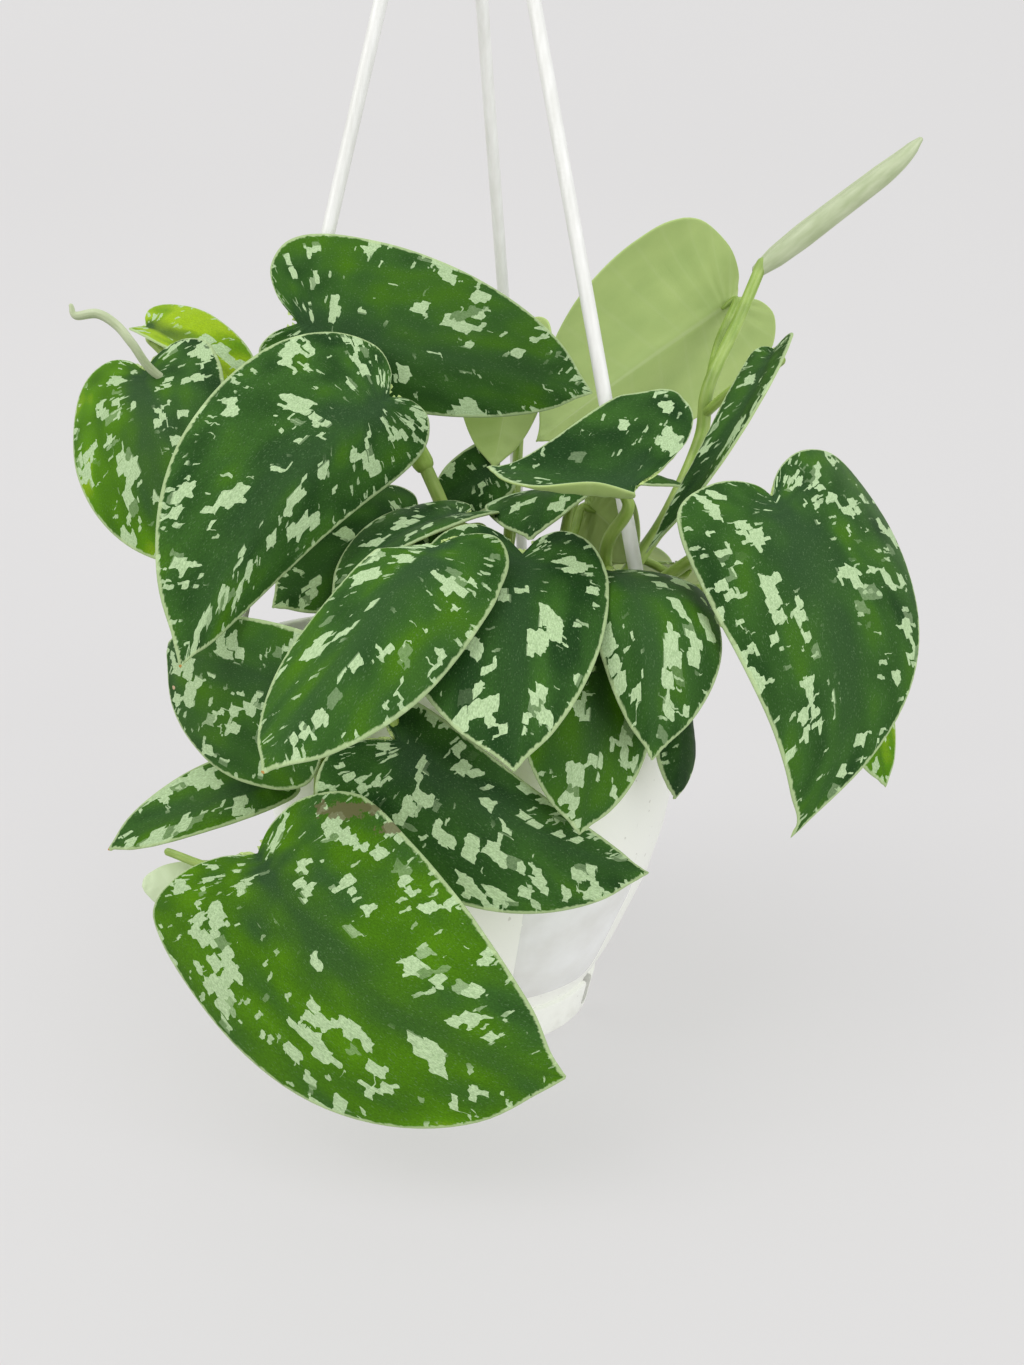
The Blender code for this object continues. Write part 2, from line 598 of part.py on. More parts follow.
def rodLine(angle, swing):
    """Foot and head of a rod: it leans inward and would meet the axis at the crossing height."""
    turn = math.radians(angle)
    foot = np.array([ROD_FOOT_RADIUS * math.cos(turn), ROD_FOOT_RADIUS * math.sin(turn),
                     ROD_FOOT_HEIGHT])
    crossing = np.array([swing, 0, ROD_CROSSING])
    share = (ROD_HEAD - ROD_FOOT_HEIGHT) / (ROD_CROSSING - ROD_FOOT_HEIGHT)
    return foot, foot + (crossing - foot) * share


def buildRod(name, angle, swing, material):
    """A rod whose foot is a clip: a tab on the rim with a leg down its outside."""
    rod = tube(name, rodLine(angle, swing), [ROD_RADIUS, ROD_RADIUS], ROD_SIDES)
    tab = box("tab", (CLIP_INNER, -CLIP_WIDTH / 2, POT_HEIGHT + GAP),
              (CLIP_OUTER, CLIP_WIDTH / 2, ROD_FOOT_HEIGHT + CLIP_ABOVE), angle)
    leg = box("leg", (RIM_RADIUS + GAP, -CLIP_WIDTH / 2, RIM_LOW - CLIP_BELOW),
              (CLIP_OUTER, CLIP_WIDTH / 2, ROD_FOOT_HEIGHT), angle)
    combine(rod, [tab, leg], "UNION")
    finish(rod, material)


def buildHook(material):
    """Disc with three sockets, a shank and an open hook, moulded in one piece."""
    profile = [(HUB_BOTTOM, 0), (HUB_BOTTOM, HUB_RADIUS - HUB_EDGE),
               (HUB_BOTTOM + HUB_EDGE, HUB_RADIUS), (HUB_TOP - HUB_EDGE, HUB_RADIUS),
               (HUB_TOP, HUB_RADIUS - HUB_EDGE), (HUB_TOP, 0)]
    hook = turned("hanger_hook", profile, HUB_SIDES)
    centre = HUB_TOP + HOOK_SHANK + HOOK_BEND
    path = [(0, 0, HUB_TOP - HUB_EDGE), (0, 0, HUB_TOP + HOOK_SHANK / 2)]
    for k in range(HOOK_STEPS + 1):
        turn = math.radians(HOOK_START - HOOK_SWEEP * k / HOOK_STEPS)
        path.append((HOOK_BEND * math.cos(turn), 0, centre + HOOK_BEND * math.sin(turn)))
    wire = tube("wire", path, [HOOK_WIRE] * len(path), HOOK_SIDES)
    combine(hook, [wire], "UNION")
    cutters = []
    for name, angle, swing in RODS:
        foot, head = rodLine(angle, swing)
        along = unit(head - foot)
        path = [head - along * SOCKET_LENGTH, head + along * GAP]
        cutters.append(holeFor("socket", path, ROD_RADIUS))
    combine(hook, cutters, "DIFFERENCE")
    finish(hook, material)


for old in list(bpy.data.objects):
    bpy.data.objects.remove(old, do_unlink=True)

potWhite = plainMaterial("pot_white", (0.80, 0.81, 0.75), 0.42)
hangerWhite = plainMaterial("hanger_white", (0.82, 0.82, 0.79), 0.4)
soilBrown = plainMaterial("soil_brown", (0.06, 0.035, 0.02), 0.95)
leafSatin = plainMaterial("leaf_satin", (0.06, 0.14, 0.035), 0.5)

buildPot(potWhite)
buildSoil(soilBrown)
for name, angle, swing in RODS:
    buildRod(name, angle, swing, hangerWhite)
buildHook(hangerWhite)
for name, stem in STEMS.items():
    buildStem(name, stem, leafSatin)
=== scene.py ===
import math

import bmesh
import bpy
import numpy as np
from mathutils import Matrix


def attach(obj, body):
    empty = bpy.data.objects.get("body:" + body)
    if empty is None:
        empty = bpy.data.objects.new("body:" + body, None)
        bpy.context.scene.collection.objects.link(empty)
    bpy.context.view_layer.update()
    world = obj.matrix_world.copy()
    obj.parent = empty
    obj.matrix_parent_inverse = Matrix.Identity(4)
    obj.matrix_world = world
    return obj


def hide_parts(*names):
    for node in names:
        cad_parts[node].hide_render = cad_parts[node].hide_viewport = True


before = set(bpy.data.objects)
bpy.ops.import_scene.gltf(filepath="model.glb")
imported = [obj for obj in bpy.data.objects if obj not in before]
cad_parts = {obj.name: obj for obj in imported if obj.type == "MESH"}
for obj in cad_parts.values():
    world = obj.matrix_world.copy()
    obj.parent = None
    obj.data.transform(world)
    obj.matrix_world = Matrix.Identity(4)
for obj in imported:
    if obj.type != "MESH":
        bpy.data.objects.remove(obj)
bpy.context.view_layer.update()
mm = 0.001  # the plant, pot and hanger are sized in millimetres, the studio in metres
print("frame loaded:", len(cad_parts), "nodes")


# Curves and grids

def smoothCurve(points, count):
    # Catmull-Rom curve through the points, read at count even steps.
    points = np.asarray(points, float)
    spans = len(points) - 1
    walk = np.linspace(0, spans, count)
    index = np.minimum(walk.astype(int), spans - 1)
    u = (walk - index)[:, None]
    ends = np.vstack([2 * points[0] - points[1], points, 2 * points[-1] - points[-2]])
    a, b, c, d = ends[index], ends[index + 1], ends[index + 2], ends[index + 3]
    return 0.5 * (2 * b + (c - a) * u + (2 * a - 5 * b + 4 * c - d) * u ** 2
                  + (3 * b - a - 3 * c + d) * u ** 3)


def unit(vectors):
    # Each vector divided by its own length.
    vectors = np.asarray(vectors, float)
    size = np.linalg.norm(vectors, axis=-1, keepdims=True)
    return vectors / np.maximum(size, 1e-9)


def arcPoints(height, radius, size, start, end, count):
    # An arc of (height, radius) points: height + size * sin, radius + size * cos.
    turn = np.linspace(start, end, count)
    return list(zip(height + size * np.sin(turn), radius + size * np.cos(turn)))


def gridFaces(index):
    # Quads between neighbouring rows and columns of an array of vertex numbers.
    a, b, c, d = index[:-1, :-1], index[:-1, 1:], index[1:, 1:], index[1:, :-1]
    return np.stack([a, b, c, d], axis=-1).reshape(-1, 4)


def ringFaces(count, sides):
    # Quads between closed rings, and a fan of triangles to a pole at each end.
    # The poles are the two vertices that follow the rings.
    index = np.arange(count * sides).reshape(count, sides)
    around = np.concatenate([index, index[:, :1]], axis=1)
    low, high = count * sides, count * sides + 1
    fans = [np.stack([np.full(sides, low), around[0, :-1], around[0, 1:]], axis=1),
            np.stack([np.full(sides, high), around[-1, 1:], around[-1, :-1]], axis=1)]
    return gridFaces(around), np.vstack(fans)


def tubeRings(path, radii, sides, flatness=1.0, wide=(0, 0, 1), roll=0.0):
    # Rings about a path: centre + radius * (cos * side + flatness * sin * other), both across the path.
    # A roll above zero lets the radius grow round the ring, which leaves one overlapping edge.
    path = np.asarray(path, float)
    axis = unit(np.gradient(path, axis=0))
    side = unit(np.cross(axis, np.asarray(wide, float)))
    other = np.cross(axis, side)
    angle = np.linspace(0, 2 * math.pi, sides, endpoint=False)
    grow = 1 + roll * (angle / (2 * math.pi) - 0.5)
    radii = np.asarray(radii, float)[:, None, None] * grow[None, :, None]
    cosine, sine = np.cos(angle)[None, :, None], np.sin(angle)[None, :, None]
    return path[:, None] + radii * (cosine * side[:, None] + flatness * sine * other[:, None])


def roundEnd(ring, before):
    # Two more rings past an open end, then a pole: middle + (ring - middle) * cos + outward * size * sin.
    middle = ring.mean(0)
    outward = unit(middle - before.mean(0))
    size = np.linalg.norm(ring - middle, axis=1).mean()
    turn = np.array([0.5, 1.05])[:, None, None]
    return middle + (ring - middle) * np.cos(turn) + outward * size * np.sin(turn), middle + outward * size


def newShell():
    return {"points": [], "quads": [], "tris": [], "quadKind": [], "triKind": [], "lie": [], "vein": [],
            "tint": [], "count": 0}


def addToShell(shell, points, quads, tris, kind, vein=None, lie=None, tint=None):
    # Appends one closed surface: its points, faces, material number and three vectors for the materials.
    start = shell["count"]
    points = points.reshape(-1, 3)
    shell["points"].append(points)
    shell["quads"].append(np.asarray(quads, int).reshape(-1, 4) + start)
    shell["tris"].append(np.asarray(tris, int).reshape(-1, 3) + start)
    shell["quadKind"].append(np.broadcast_to(kind, len(shell["quads"][-1])))
    shell["triKind"].append(np.full(len(shell["tris"][-1]), np.ravel(kind)[0]))
    empty = np.zeros((len(points), 3))
    for label, values in (("vein", vein), ("lie", lie), ("tint", tint)):
        shell[label].append(empty if values is None else values.reshape(-1, 3))
    shell["count"] += len(points)


def addTube(shell, path, radii, sides, kind, flatness=1.0, wide=(0, 0, 1), tone=0.5, roll=0.0):
    # A tube with round ends; the vein vector holds the length walked, and the tint vector its tone.
    rings = tubeRings(path, radii, sides, flatness, wide, roll)
    startRings, startPole = roundEnd(rings[0], rings[1])
    endRings, endPole = roundEnd(rings[-1], rings[-2])
    rings = np.concatenate([startRings[::-1], rings, endRings])
    count = len(rings)
    quads, tris = ringFaces(count, sides)
    points = np.vstack([rings.reshape(-1, 3), startPole, endPole])
    walked = np.concatenate([[0], np.cumsum(np.linalg.norm(np.diff(rings.mean(1), axis=0), axis=1))])
    vein = np.zeros((len(points), 3))
    vein[:-2, 0] = np.repeat(walked, sides)
    vein[:-2, 1] = np.tile(np.arange(sides) / sides, count)
    vein[-1, 0] = walked[-1]
    addToShell(shell, points, quads, tris, kind, vein, tint=np.full((len(points), 3), tone))


def addObject(name, data):
    thing = bpy.data.objects.new(name, data)
    bpy.context.scene.collection.objects.link(thing)
    return thing


def shellObject(name, shell, materials, crisp):
    # One mesh object from the gathered surfaces, welded, with faces outward and smooth shading.
    # Edges that turn by more than crisp degrees stay sharp.
    points = np.vstack(shell["points"]) * mm
    faces = np.vstack(shell["quads"]).tolist() + np.vstack(shell["tris"]).tolist()
    mesh = bpy.data.meshes.new(name)
    mesh.from_pydata(points.tolist(), [], faces)
    kinds = np.concatenate(shell["quadKind"] + shell["triKind"])
    mesh.polygons.foreach_set("material_index", kinds.astype(np.int32))
    for label in ("vein", "lie", "tint"):
        layer = mesh.attributes.new(label, "FLOAT_VECTOR", "POINT")
        layer.data.foreach_set("vector", np.vstack(shell[label]).astype(np.float32).ravel())
    for material in materials:
        mesh.materials.append(material)
    fine = bmesh.new()
    fine.from_mesh(mesh)
    bmesh.ops.remove_doubles(fine, verts=fine.verts, dist=1e-7)
    bmesh.ops.dissolve_degenerate(fine, edges=fine.edges, dist=1e-8)
    bmesh.ops.recalc_face_normals(fine, faces=fine.faces)
    fine.to_mesh(mesh)
    fine.free()
    mesh.shade_smooth()
    mesh.set_sharp_from_angle(angle=math.radians(crisp))
    return addObject(name, mesh)


def ridePiece(piece, slotName, *nodes):
    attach(piece, "root")
    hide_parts(*nodes)
    print("made", piece.name, len(piece.data.polygons), "faces")


# Materials

def newMaterial(name, roughness, **sockets):
    # A Principled material with its plain values set on the shader's own sockets.
    material = bpy.data.materials.new(name)
    material.use_nodes = True
    shader = material.node_tree.nodes["Principled BSDF"]
    shader.inputs["Roughness"].default_value = roughness
    for socket, value in sockets.items():
        shader.inputs[socket.replace("_", " ")].default_value = value
    return material, material.node_tree, shader


def addNode(tree, kind, **settings):
    node = tree.nodes.new("ShaderNode" + kind)
    for name, value in settings.items():
        setattr(node, name, value)
    return node


def plug(tree, source, target):
    # Joins an output to an input, or sets the input when the source is a plain value.
    if isinstance(source, bpy.types.NodeSocket):
        tree.links.new(source, target)
    else:
        target.default_value = source


def maths(tree, operation, first, second=0.0, third=0.0):
    node = addNode(tree, "Math", operation=operation)
    for socket, part in zip(node.inputs, (first, second, third)):
        plug(tree, part, socket)
    return node.outputs[0]


def ramp(tree, value, low, high, lowOut=0.0, highOut=1.0):
    # Straight rise from lowOut at low to highOut at high, level outside.
    node = addNode(tree, "MapRange", clamp=True)
    for socket, part in zip(node.inputs, (value, low, high, lowOut, highOut)):
        plug(tree, part, socket)
    return node.outputs[0]


def noise(tree, vector, scale, detail=2.0, rough=0.5, output="Fac"):
    node = addNode(tree, "TexNoise")
    plug(tree, vector, node.inputs["Vector"])
    node.inputs["Scale"].default_value = scale
    node.inputs["Detail"].default_value = detail
    node.inputs["Roughness"].default_value = rough
    return node.outputs[output]


def blockCells(tree, vector, randomness=1.0):
    # Squarish cells, one for each unit of the vector; each has a position and a chance from 0 to 1.
    cells = addNode(tree, "TexVoronoi", distance="CHEBYCHEV")
    plug(tree, vector, cells.inputs["Vector"])
    cells.inputs["Scale"].default_value = 1.0
    cells.inputs["Randomness"].default_value = randomness
    chance = addNode(tree, "SeparateColor")
    tree.links.new(cells.outputs["Color"], chance.inputs[0])
    return cells.outputs["Position"], chance.outputs[0]


def stretch(tree, vector, scale, shift=(0, 0, 0)):
    node = addNode(tree, "Mapping")
    plug(tree, vector, node.inputs["Vector"])
    node.inputs["Scale"].default_value = scale
    node.inputs["Location"].default_value = shift
    return node.outputs[0]


def blendColour(tree, factor, first, second):
    node = addNode(tree, "Mix", data_type="RGBA")
    plug(tree, factor, node.inputs["Factor"])
    for socket, value in zip((node.inputs[6], node.inputs[7]), (first, second)):
        plug(tree, (*value, 1) if isinstance(value, tuple) else value, socket)
    return node.outputs[2]


def addBump(tree, shader, height, distance, strength):
    node = addNode(tree, "Bump")
    node.inputs["Strength"].default_value = strength
    node.inputs["Distance"].default_value = distance
    plug(tree, height, node.inputs["Height"])
    tree.links.new(node.outputs[0], shader.inputs["Normal"])


def objectPlace(tree):
    # Object coordinates, turned to millimetres.
    return stretch(tree, addNode(tree, "TexCoord").outputs["Object"], (1000, 1000, 1000))


def readAttribute(tree, name):
    return addNode(tree, "Attribute", attribute_name=name).outputs["Vector"]


def splitVector(tree, vector):
    parts = addNode(tree, "SeparateXYZ")
    tree.links.new(vector, parts.inputs[0])
    return parts.outputs


satinLook = {
    "greens": [(0.0, (0.013, 0.046, 0.009)), (0.3, (0.034, 0.100, 0.015)), (0.55, (0.052, 0.148, 0.004)),
               (0.78, (0.080, 0.215, 0.003)), (1.0, (0.28, 0.43, 0.010))],
    "ribGreen": (0.026, 0.066, 0.022), "silver": (0.43, 0.57, 0.32), "silverDull": (0.33, 0.46, 0.24),
    "margin": (0.42, 0.54, 0.27), "freckle": (0.16, 0.26, 0.12),
    "bruise": (0.13, 0.12, 0.055), "scar": (0.60, 0.42, 0.27), "dryTip": (0.45, 0.20, 0.04),
    "patchCells": (0.60, 0.34),  # for each millimetre across and along a side vein
    "streakCells": (1.9, 0.5),
    "clump": 0.165, "level": 0.645,  # clumps for each millimetre; the higher the level, the fewer
    "freckleGrain": 3.4, "weaveGrain": 2.6, "speckleGrain": 4.5,  # for each millimetre
    "veinWaves": 0.055,
}

# Marks on the leaves: place, reach in x, y and z, how ragged the edge is, and its colour in satinLook.
blemishes = [
    ((-24, -87.5, 89.5), (11, 6, 3.0), 0.9, "bruise"), ((-14, -89, 86), (5, 5, 2.2), 0.9, "bruise"),
    ((-74, -42, 85.5), (2.6, 4, 0.7), 0.7, "scar"), ((-72.5, -51, 109.5), (1.0, 4, 0.8), 0.6, "scar"),
    ((-63, -74, 119), (1.2, 2, 1.2), 0.4, "dryTip"), ((-33, -48, 131), (1.2, 2, 1.2), 0.4, "dryTip"),
    ((-38, -104, 103), (0.9, 2, 0.9), 0.4, "dryTip"), ((-91, -55, 68), (1.4, 2, 1.0), 0.4, "dryTip"),
]


def addBlemishes(tree, colour):
    # Each mark is a stretched ball: 1 - distance from its middle, roughened by noise, cut at zero.
    place = objectPlace(tree)
    grain = noise(tree, place, 0.45, 3.0, 0.65)
    for middle, reach, ragged, kind in blemishes:
        local = stretch(tree, place, [1 / r for r in reach], [-m / r for m, r in zip(middle, reach)])
        away = addNode(tree, "VectorMath", operation="LENGTH")
        plug(tree, local, away.inputs[0])
        depth = maths(tree, "SUBTRACT", 1.0 - ragged * 0.5, away.outputs["Value"])
        depth = maths(tree, "MULTIPLY_ADD", grain, ragged * 2, depth)
        share = ramp(tree, depth, 0.5 + ragged * 0.35, 0.6 + ragged * 0.35, 0.0, 0.85)
        colour = blendColour(tree, share, colour, satinLook[kind])
    return colour


def silverPatches(tree, vein, outward, toMargin, extra):
    # Jagged patches: cells in vein coordinates, each wholly silver or wholly green, gathered in clumps.
    look = satinLook
    wobble = addNode(tree, "VectorMath", operation="MULTIPLY_ADD")
    plug(tree, noise(tree, vein, 0.7, 1.0, output="Color"), wobble.inputs[0])
    wobble.inputs[1].default_value = (0.7, 1.0, 0)
    plug(tree, vein, wobble.inputs[2])
    moved = wobble.outputs[0]
    across, along = look["patchCells"]
    position, chance = blockCells(tree, stretch(tree, moved, (across, along, 1)), 0.9)
    clumpPlace = stretch(tree, position, (look["clump"] / across, 0.85 * look["clump"] / along, 1))
    clump = noise(tree, clumpPlace, 1.0, 0.0)
    # few patches beside the midrib, and a little fewer at the margin
    besideRib = ramp(tree, outward, 0.06, 0.24, 0.14, 0.0)
    atMargin = ramp(tree, outward, 0.85, 1.0, 0.0, 0.04)
    value = maths(tree, "MULTIPLY_ADD", chance, 0.02, clump)
    value = maths(tree, "SUBTRACT", value, maths(tree, "ADD", besideRib, atMargin))
    value = maths(tree, "ADD", value, extra)
    patches = ramp(tree, value, look["level"], look["level"] + 0.006)
    faint = ramp(tree, value, look["level"] - 0.009, look["level"] - 0.007, 0.0, 0.3)
    # short thin streaks along the veins, most of them near the patches and the margin
    streakChance = blockCells(tree, stretch(tree, moved, (*look["streakCells"], 1)))[1]
    nearPatch = ramp(tree, value, look["level"] - 0.14, look["level"], 0.0, 0.04)
    nearMargin = ramp(tree, toMargin, 1.0, 5.0, 0.04, 0.0)
    likely = maths(tree, "ADD", streakChance, maths(tree, "ADD", nearPatch, nearMargin))
    offRib = ramp(tree, outward, 0.1, 0.3)
    streaks = maths(tree, "MULTIPLY", ramp(tree, likely, 0.980, 0.988, 0.0, 0.85), offRib)
    return maths(tree, "MAXIMUM", maths(tree, "MAXIMUM", patches, faint), streaks)


def leafGreen(tree, vein, outward, walked, tone):
    # Grey-green along the midrib, fading to the tip, and lighter rounded clouds outward.
    clouds = noise(tree, vein, 0.12, 1.0, 0.4)
    shade = maths(tree, "MULTIPLY_ADD", clouds, 0.9, -0.45)
    shade = maths(tree, "MULTIPLY", shade, ramp(tree, outward, 0.0, 0.4, 0.35, 1.0))
    green = addNode(tree, "ValToRGB")
    plug(tree, maths(tree, "ADD", shade, tone), green.inputs[0])
    stops = green.color_ramp.elements
    stops.remove(stops[1])
    for position, value in satinLook["greens"]:
        stop = stops[0] if position == 0 else stops.new(position)
        stop.color = (*value, 1)
    fromRib = maths(tree, "MULTIPLY_ADD", clouds, 0.5, maths(tree, "SUBTRACT", outward, 0.25))
    fade = ramp(tree, walked, 0.35, 0.9, 1.0, 0.25)
    alongRib = maths(tree, "MULTIPLY", ramp(tree, fromRib, 0.03, 0.36, 0.9, 0.0), fade)
    return blendColour(tree, alongRib, green.outputs[0], satinLook["ribGreen"])


def sideVeins(tree, vein):
    # A low wave for each side vein, which the bumps of both sides of a leaf follow.
    wave = addNode(tree, "TexWave", wave_type="BANDS", bands_direction="X")
    plug(tree, vein, wave.inputs["Vector"])
    wave.inputs["Scale"].default_value = satinLook["veinWaves"]
    wave.inputs["Distortion"].default_value = 0.6
    return wave.outputs["Fac"]


def satinMaterial():
    # Upper side: green with jagged silver patches that follow the side veins, and a pale margin.
    look = satinLook
    material, tree, shader = newMaterial("satinLeaf", 0.5, Specular_IOR_Level=0.06)
    vein = readAttribute(tree, "vein")
    outward, toMargin, walked = splitVector(tree, readAttribute(tree, "lie"))
    tone, extra, _ = splitVector(tree, readAttribute(tree, "tint"))
    colour = leafGreen(tree, vein, outward, walked, tone)
    freckles = ramp(tree, noise(tree, vein, look["freckleGrain"], 0.0), 0.70, 0.76, 0.0, 0.25)
    colour = blendColour(tree, freckles, colour, look["freckle"])
    weave = ramp(tree, noise(tree, vein, look["weaveGrain"], 2.0, 0.6), 0.36, 0.58)
    silver = blendColour(tree, weave, look["silverDull"], look["silver"])
    colour = blendColour(tree, silverPatches(tree, vein, outward, toMargin, extra), colour, silver)
    speckled = addNode(tree, "VectorMath", operation="SCALE")
    plug(tree, colour, speckled.inputs[0])
    speckle = ramp(tree, noise(tree, vein, look["speckleGrain"], 1.0), 0.3, 0.7, 0.84, 1.16)
    plug(tree, speckle, speckled.inputs["Scale"])
    # pale margin with a ragged inner edge
    inner = maths(tree, "MULTIPLY_ADD", noise(tree, vein, 0.9, 2.0, 0.6), -1.3, toMargin)
    rim = ramp(tree, inner, 0.0, 0.35, 0.8, 0.0)
    colour = blendColour(tree, rim, speckled.outputs[0], look["margin"])
    tree.links.new(addBlemishes(tree, colour), shader.inputs["Base Color"])
    height = maths(tree, "MULTIPLY_ADD", noise(tree, vein, 3.0), 0.45, sideVeins(tree, vein))
    addBump(tree, shader, height, 0.0002, 0.45)
    return material


# Underside colours: green and dull are lightened as painted light shining through the leaf.
litUnderLook = {"green": (0.47, 0.60, 0.20), "dull": (0.34, 0.47, 0.14), "rib": (0.50, 0.60, 0.28),
             "pale": (0.56, 0.66, 0.42)}


def undersideMaterial():
    # Lower side: pale grey-green with the midrib and side veins a little lighter; its greens are painted
    # light, lighter than the leaf's own underside, as if lit through the leaf.
    look = litUnderLook
    material, tree, shader = newMaterial("leafUnderside", 0.5, Sheen_Weight=0.03)
    vein = readAttribute(tree, "vein")
    outward = splitVector(tree, readAttribute(tree, "lie"))[0]
    tone = splitVector(tree, readAttribute(tree, "tint"))[0]
    ribs = sideVeins(tree, vein)
    colour = blendColour(tree, noise(tree, vein, 0.12), look["dull"], look["green"])
    colour = blendColour(tree, ramp(tree, ribs, 0.92, 1.0, 0.0, 0.12), colour, look["rib"])
    colour = blendColour(tree, ramp(tree, outward, 0.010, 0.030, 0.5, 0.0), colour, look["rib"])
    colour = blendColour(tree, ramp(tree, tone, 0.7, 0.9), colour, look["pale"])
    tree.links.new(colour, shader.inputs["Base Color"])
    addBump(tree, shader, maths(tree, "ADD", ribs, noise(tree, vein, 2.0)), 0.0001, 0.35)
    return material


stalkLook = {"green": (0.23, 0.37, 0.05), "pale": (0.38, 0.51, 0.13), "node": (0.12, 0.19, 0.03),
             "young": (0.38, 0.45, 0.25), "youngPale": (0.50, 0.56, 0.36)}


def stalkMaterial():
    # Stems and petioles: pale green with fine lines along them and small paler flecks.
    look = stalkLook
    material, tree, shader = newMaterial("greenStalk", 0.42)
    vein = readAttribute(tree, "vein")
    tone = splitVector(tree, readAttribute(tree, "tint"))[0]
    place = objectPlace(tree)
    lines = noise(tree, stretch(tree, vein, (0.12, 9, 1)), 1.0)
    streaky = ramp(tree, lines, 0.3, 0.7)
    colour = blendColour(tree, streaky, look["green"], look["pale"])
    flecks = ramp(tree, noise(tree, place, 1.6), 0.62, 0.68, 0.0, 0.5)
    colour = blendColour(tree, flecks, colour, look["pale"])
    dark = ramp(tree, noise(tree, place, 0.12, 1.0), 0.35, 0.55, 0.4, 0.0)
    colour = blendColour(tree, dark, colour, look["node"])
    young = blendColour(tree, streaky, look["young"], look["youngPale"])
    colour = blendColour(tree, ramp(tree, tone, 0.6, 0.9), colour, young)
    tree.links.new(colour, shader.inputs["Base Color"])
    addBump(tree, shader, lines, 0.0002, 0.4)
    return material


potLook = {"white": (0.90, 0.91, 0.85), "shade": (0.87, 0.88, 0.81), "scuff": (0.56, 0.55, 0.48)}


def potMaterial():
    # Moulded plastic: nearly even off-white, faint mottling, thin scuffs and dust near the foot.
    look = potLook
    material, tree, shader = newMaterial("mouldedPot", 0.36, Specular_IOR_Level=0.45)
    place = objectPlace(tree)
    colour = blendColour(tree, noise(tree, place, 0.03, 3.0), look["shade"], look["white"])
    scuffs = noise(tree, stretch(tree, place, (0.5, 0.5, 0.08)), 1.0, 4.0, 0.7)
    dots = noise(tree, place, 0.55, 0.0)
    height = splitVector(tree, place)[2]
    dust = ramp(tree, noise(tree, place, 0.25, 3.0), 0.45, 0.7)
    for share in (ramp(tree, scuffs, 0.66, 0.74, 0.0, 0.35), ramp(tree, dots, 0.80, 0.83, 0.0, 0.6),
                  maths(tree, "MULTIPLY", ramp(tree, height, 0.0, 12.0, 0.30, 0.0), dust)):
        colour = blendColour(tree, share, colour, look["scuff"])
    tree.links.new(colour, shader.inputs["Base Color"])
    rough = ramp(tree, noise(tree, place, 0.2, 3.0), 0.3, 0.7, 0.30, 0.44)
    tree.links.new(rough, shader.inputs["Roughness"])
    addBump(tree, shader, noise(tree, place, 1.6, 3.0), 0.00006, 0.5)
    return material


hangerLook = {"white": (0.80, 0.80, 0.77), "shade": (0.70, 0.70, 0.66)}


def hangerMaterial():
    # Moulded plastic rods: white, with a soft uneven gloss and faint flow marks along them.
    look = hangerLook
    material, tree, shader = newMaterial("mouldedHanger", 0.34, Specular_IOR_Level=0.45)
    place = objectPlace(tree)
    flow = noise(tree, stretch(tree, place, (0.5, 0.5, 0.03)), 1.0, 3.0)
    colour = blendColour(tree, ramp(tree, flow, 0.3, 0.7), look["shade"], look["white"])
    tree.links.new(colour, shader.inputs["Base Color"])
    addBump(tree, shader, noise(tree, place, 0.9), 0.0001, 0.5)
    return material


soilLook = {"dark": (0.018, 0.011, 0.007), "brown": (0.075, 0.043, 0.022), "fibre": (0.19, 0.13, 0.07)}


def soilMaterial():
    # Moist compost: dark brown crumbs with paler fibres.
    look = soilLook
    material, tree, shader = newMaterial("compost", 0.9)
    place = objectPlace(tree)
    crumbs = ramp(tree, noise(tree, place, 0.35, 5.0, 0.7), 0.35, 0.65)
    colour = blendColour(tree, crumbs, look["dark"], look["brown"])
    fibres = noise(tree, stretch(tree, place, (0.2, 1.4, 0.6)), 1.0, 3.0, 0.6)
    colour = blendColour(tree, ramp(tree, fibres, 0.62, 0.68, 0.0, 0.8), colour, look["fibre"])
    tree.links.new(colour, shader.inputs["Base Color"])
    addBump(tree, shader, noise(tree, place, 0.8, 5.0, 0.7), 0.001, 0.8)
    return material


labelLook = {"white": (0.83, 0.84, 0.83), "edge": (0.72, 0.72, 0.69)}


def labelMaterial():
    # Glossy film: a blank pale label, a little cooler than the pot.
    look = labelLook
    material, tree, shader = newMaterial("blankLabel", 0.25)
    place = objectPlace(tree)
    uneven = ramp(tree, noise(tree, place, 0.08, 3.0), 0.3, 0.7)
    colour = blendColour(tree, uneven, look["edge"], look["white"])
    tree.links.new(colour, shader.inputs["Base Color"])
    addBump(tree, shader, noise(tree, place, 0.15), 0.0003, 0.4)
    return material


satinLeaf = satinMaterial()
leafUnderside = undersideMaterial()
greenStalk = stalkMaterial()
mouldedPot = potMaterial()
mouldedHanger = hangerMaterial()
compost = soilMaterial()
blankLabel = labelMaterial()
print("materials ready")


# Pot, soil and hanger

# Profiles are (height, radius) points. slotHeights and slotReach bound a slot in height and in radius.
pot = {
    "height": 115, "rimRadius": 68, "rimInner": 63.6, "rimLow": 108, "lip": 0.9, "columns": 180, "crisp": 32,
    "outside": [(0.5, 36.3), (1.2, 36.7), (5, 37.6), (10.2, 38.85), (10.9, 38.9), (11.2, 38.5), (11.4, 37.7),
                (12.2, 38.0), (16, 40.4), (20, 42.7), (24, 44.8), (32, 48.4), (46, 54.6), (60, 58.8),
                (76, 61.8), (92, 63.6), (107.4, 65.15)],
    "inside": [(108, 63.2), (60, 56.8), (32, 46.2), (16, 38.2), (11, 35.4), (2.4, 32.5)],
    "slots": 4, "slotFirst": -22, "slotHeights": (3, 14), "slotReach": (31, 43), "slotWidth": 5,
    "slotCorner": 1.2,
}


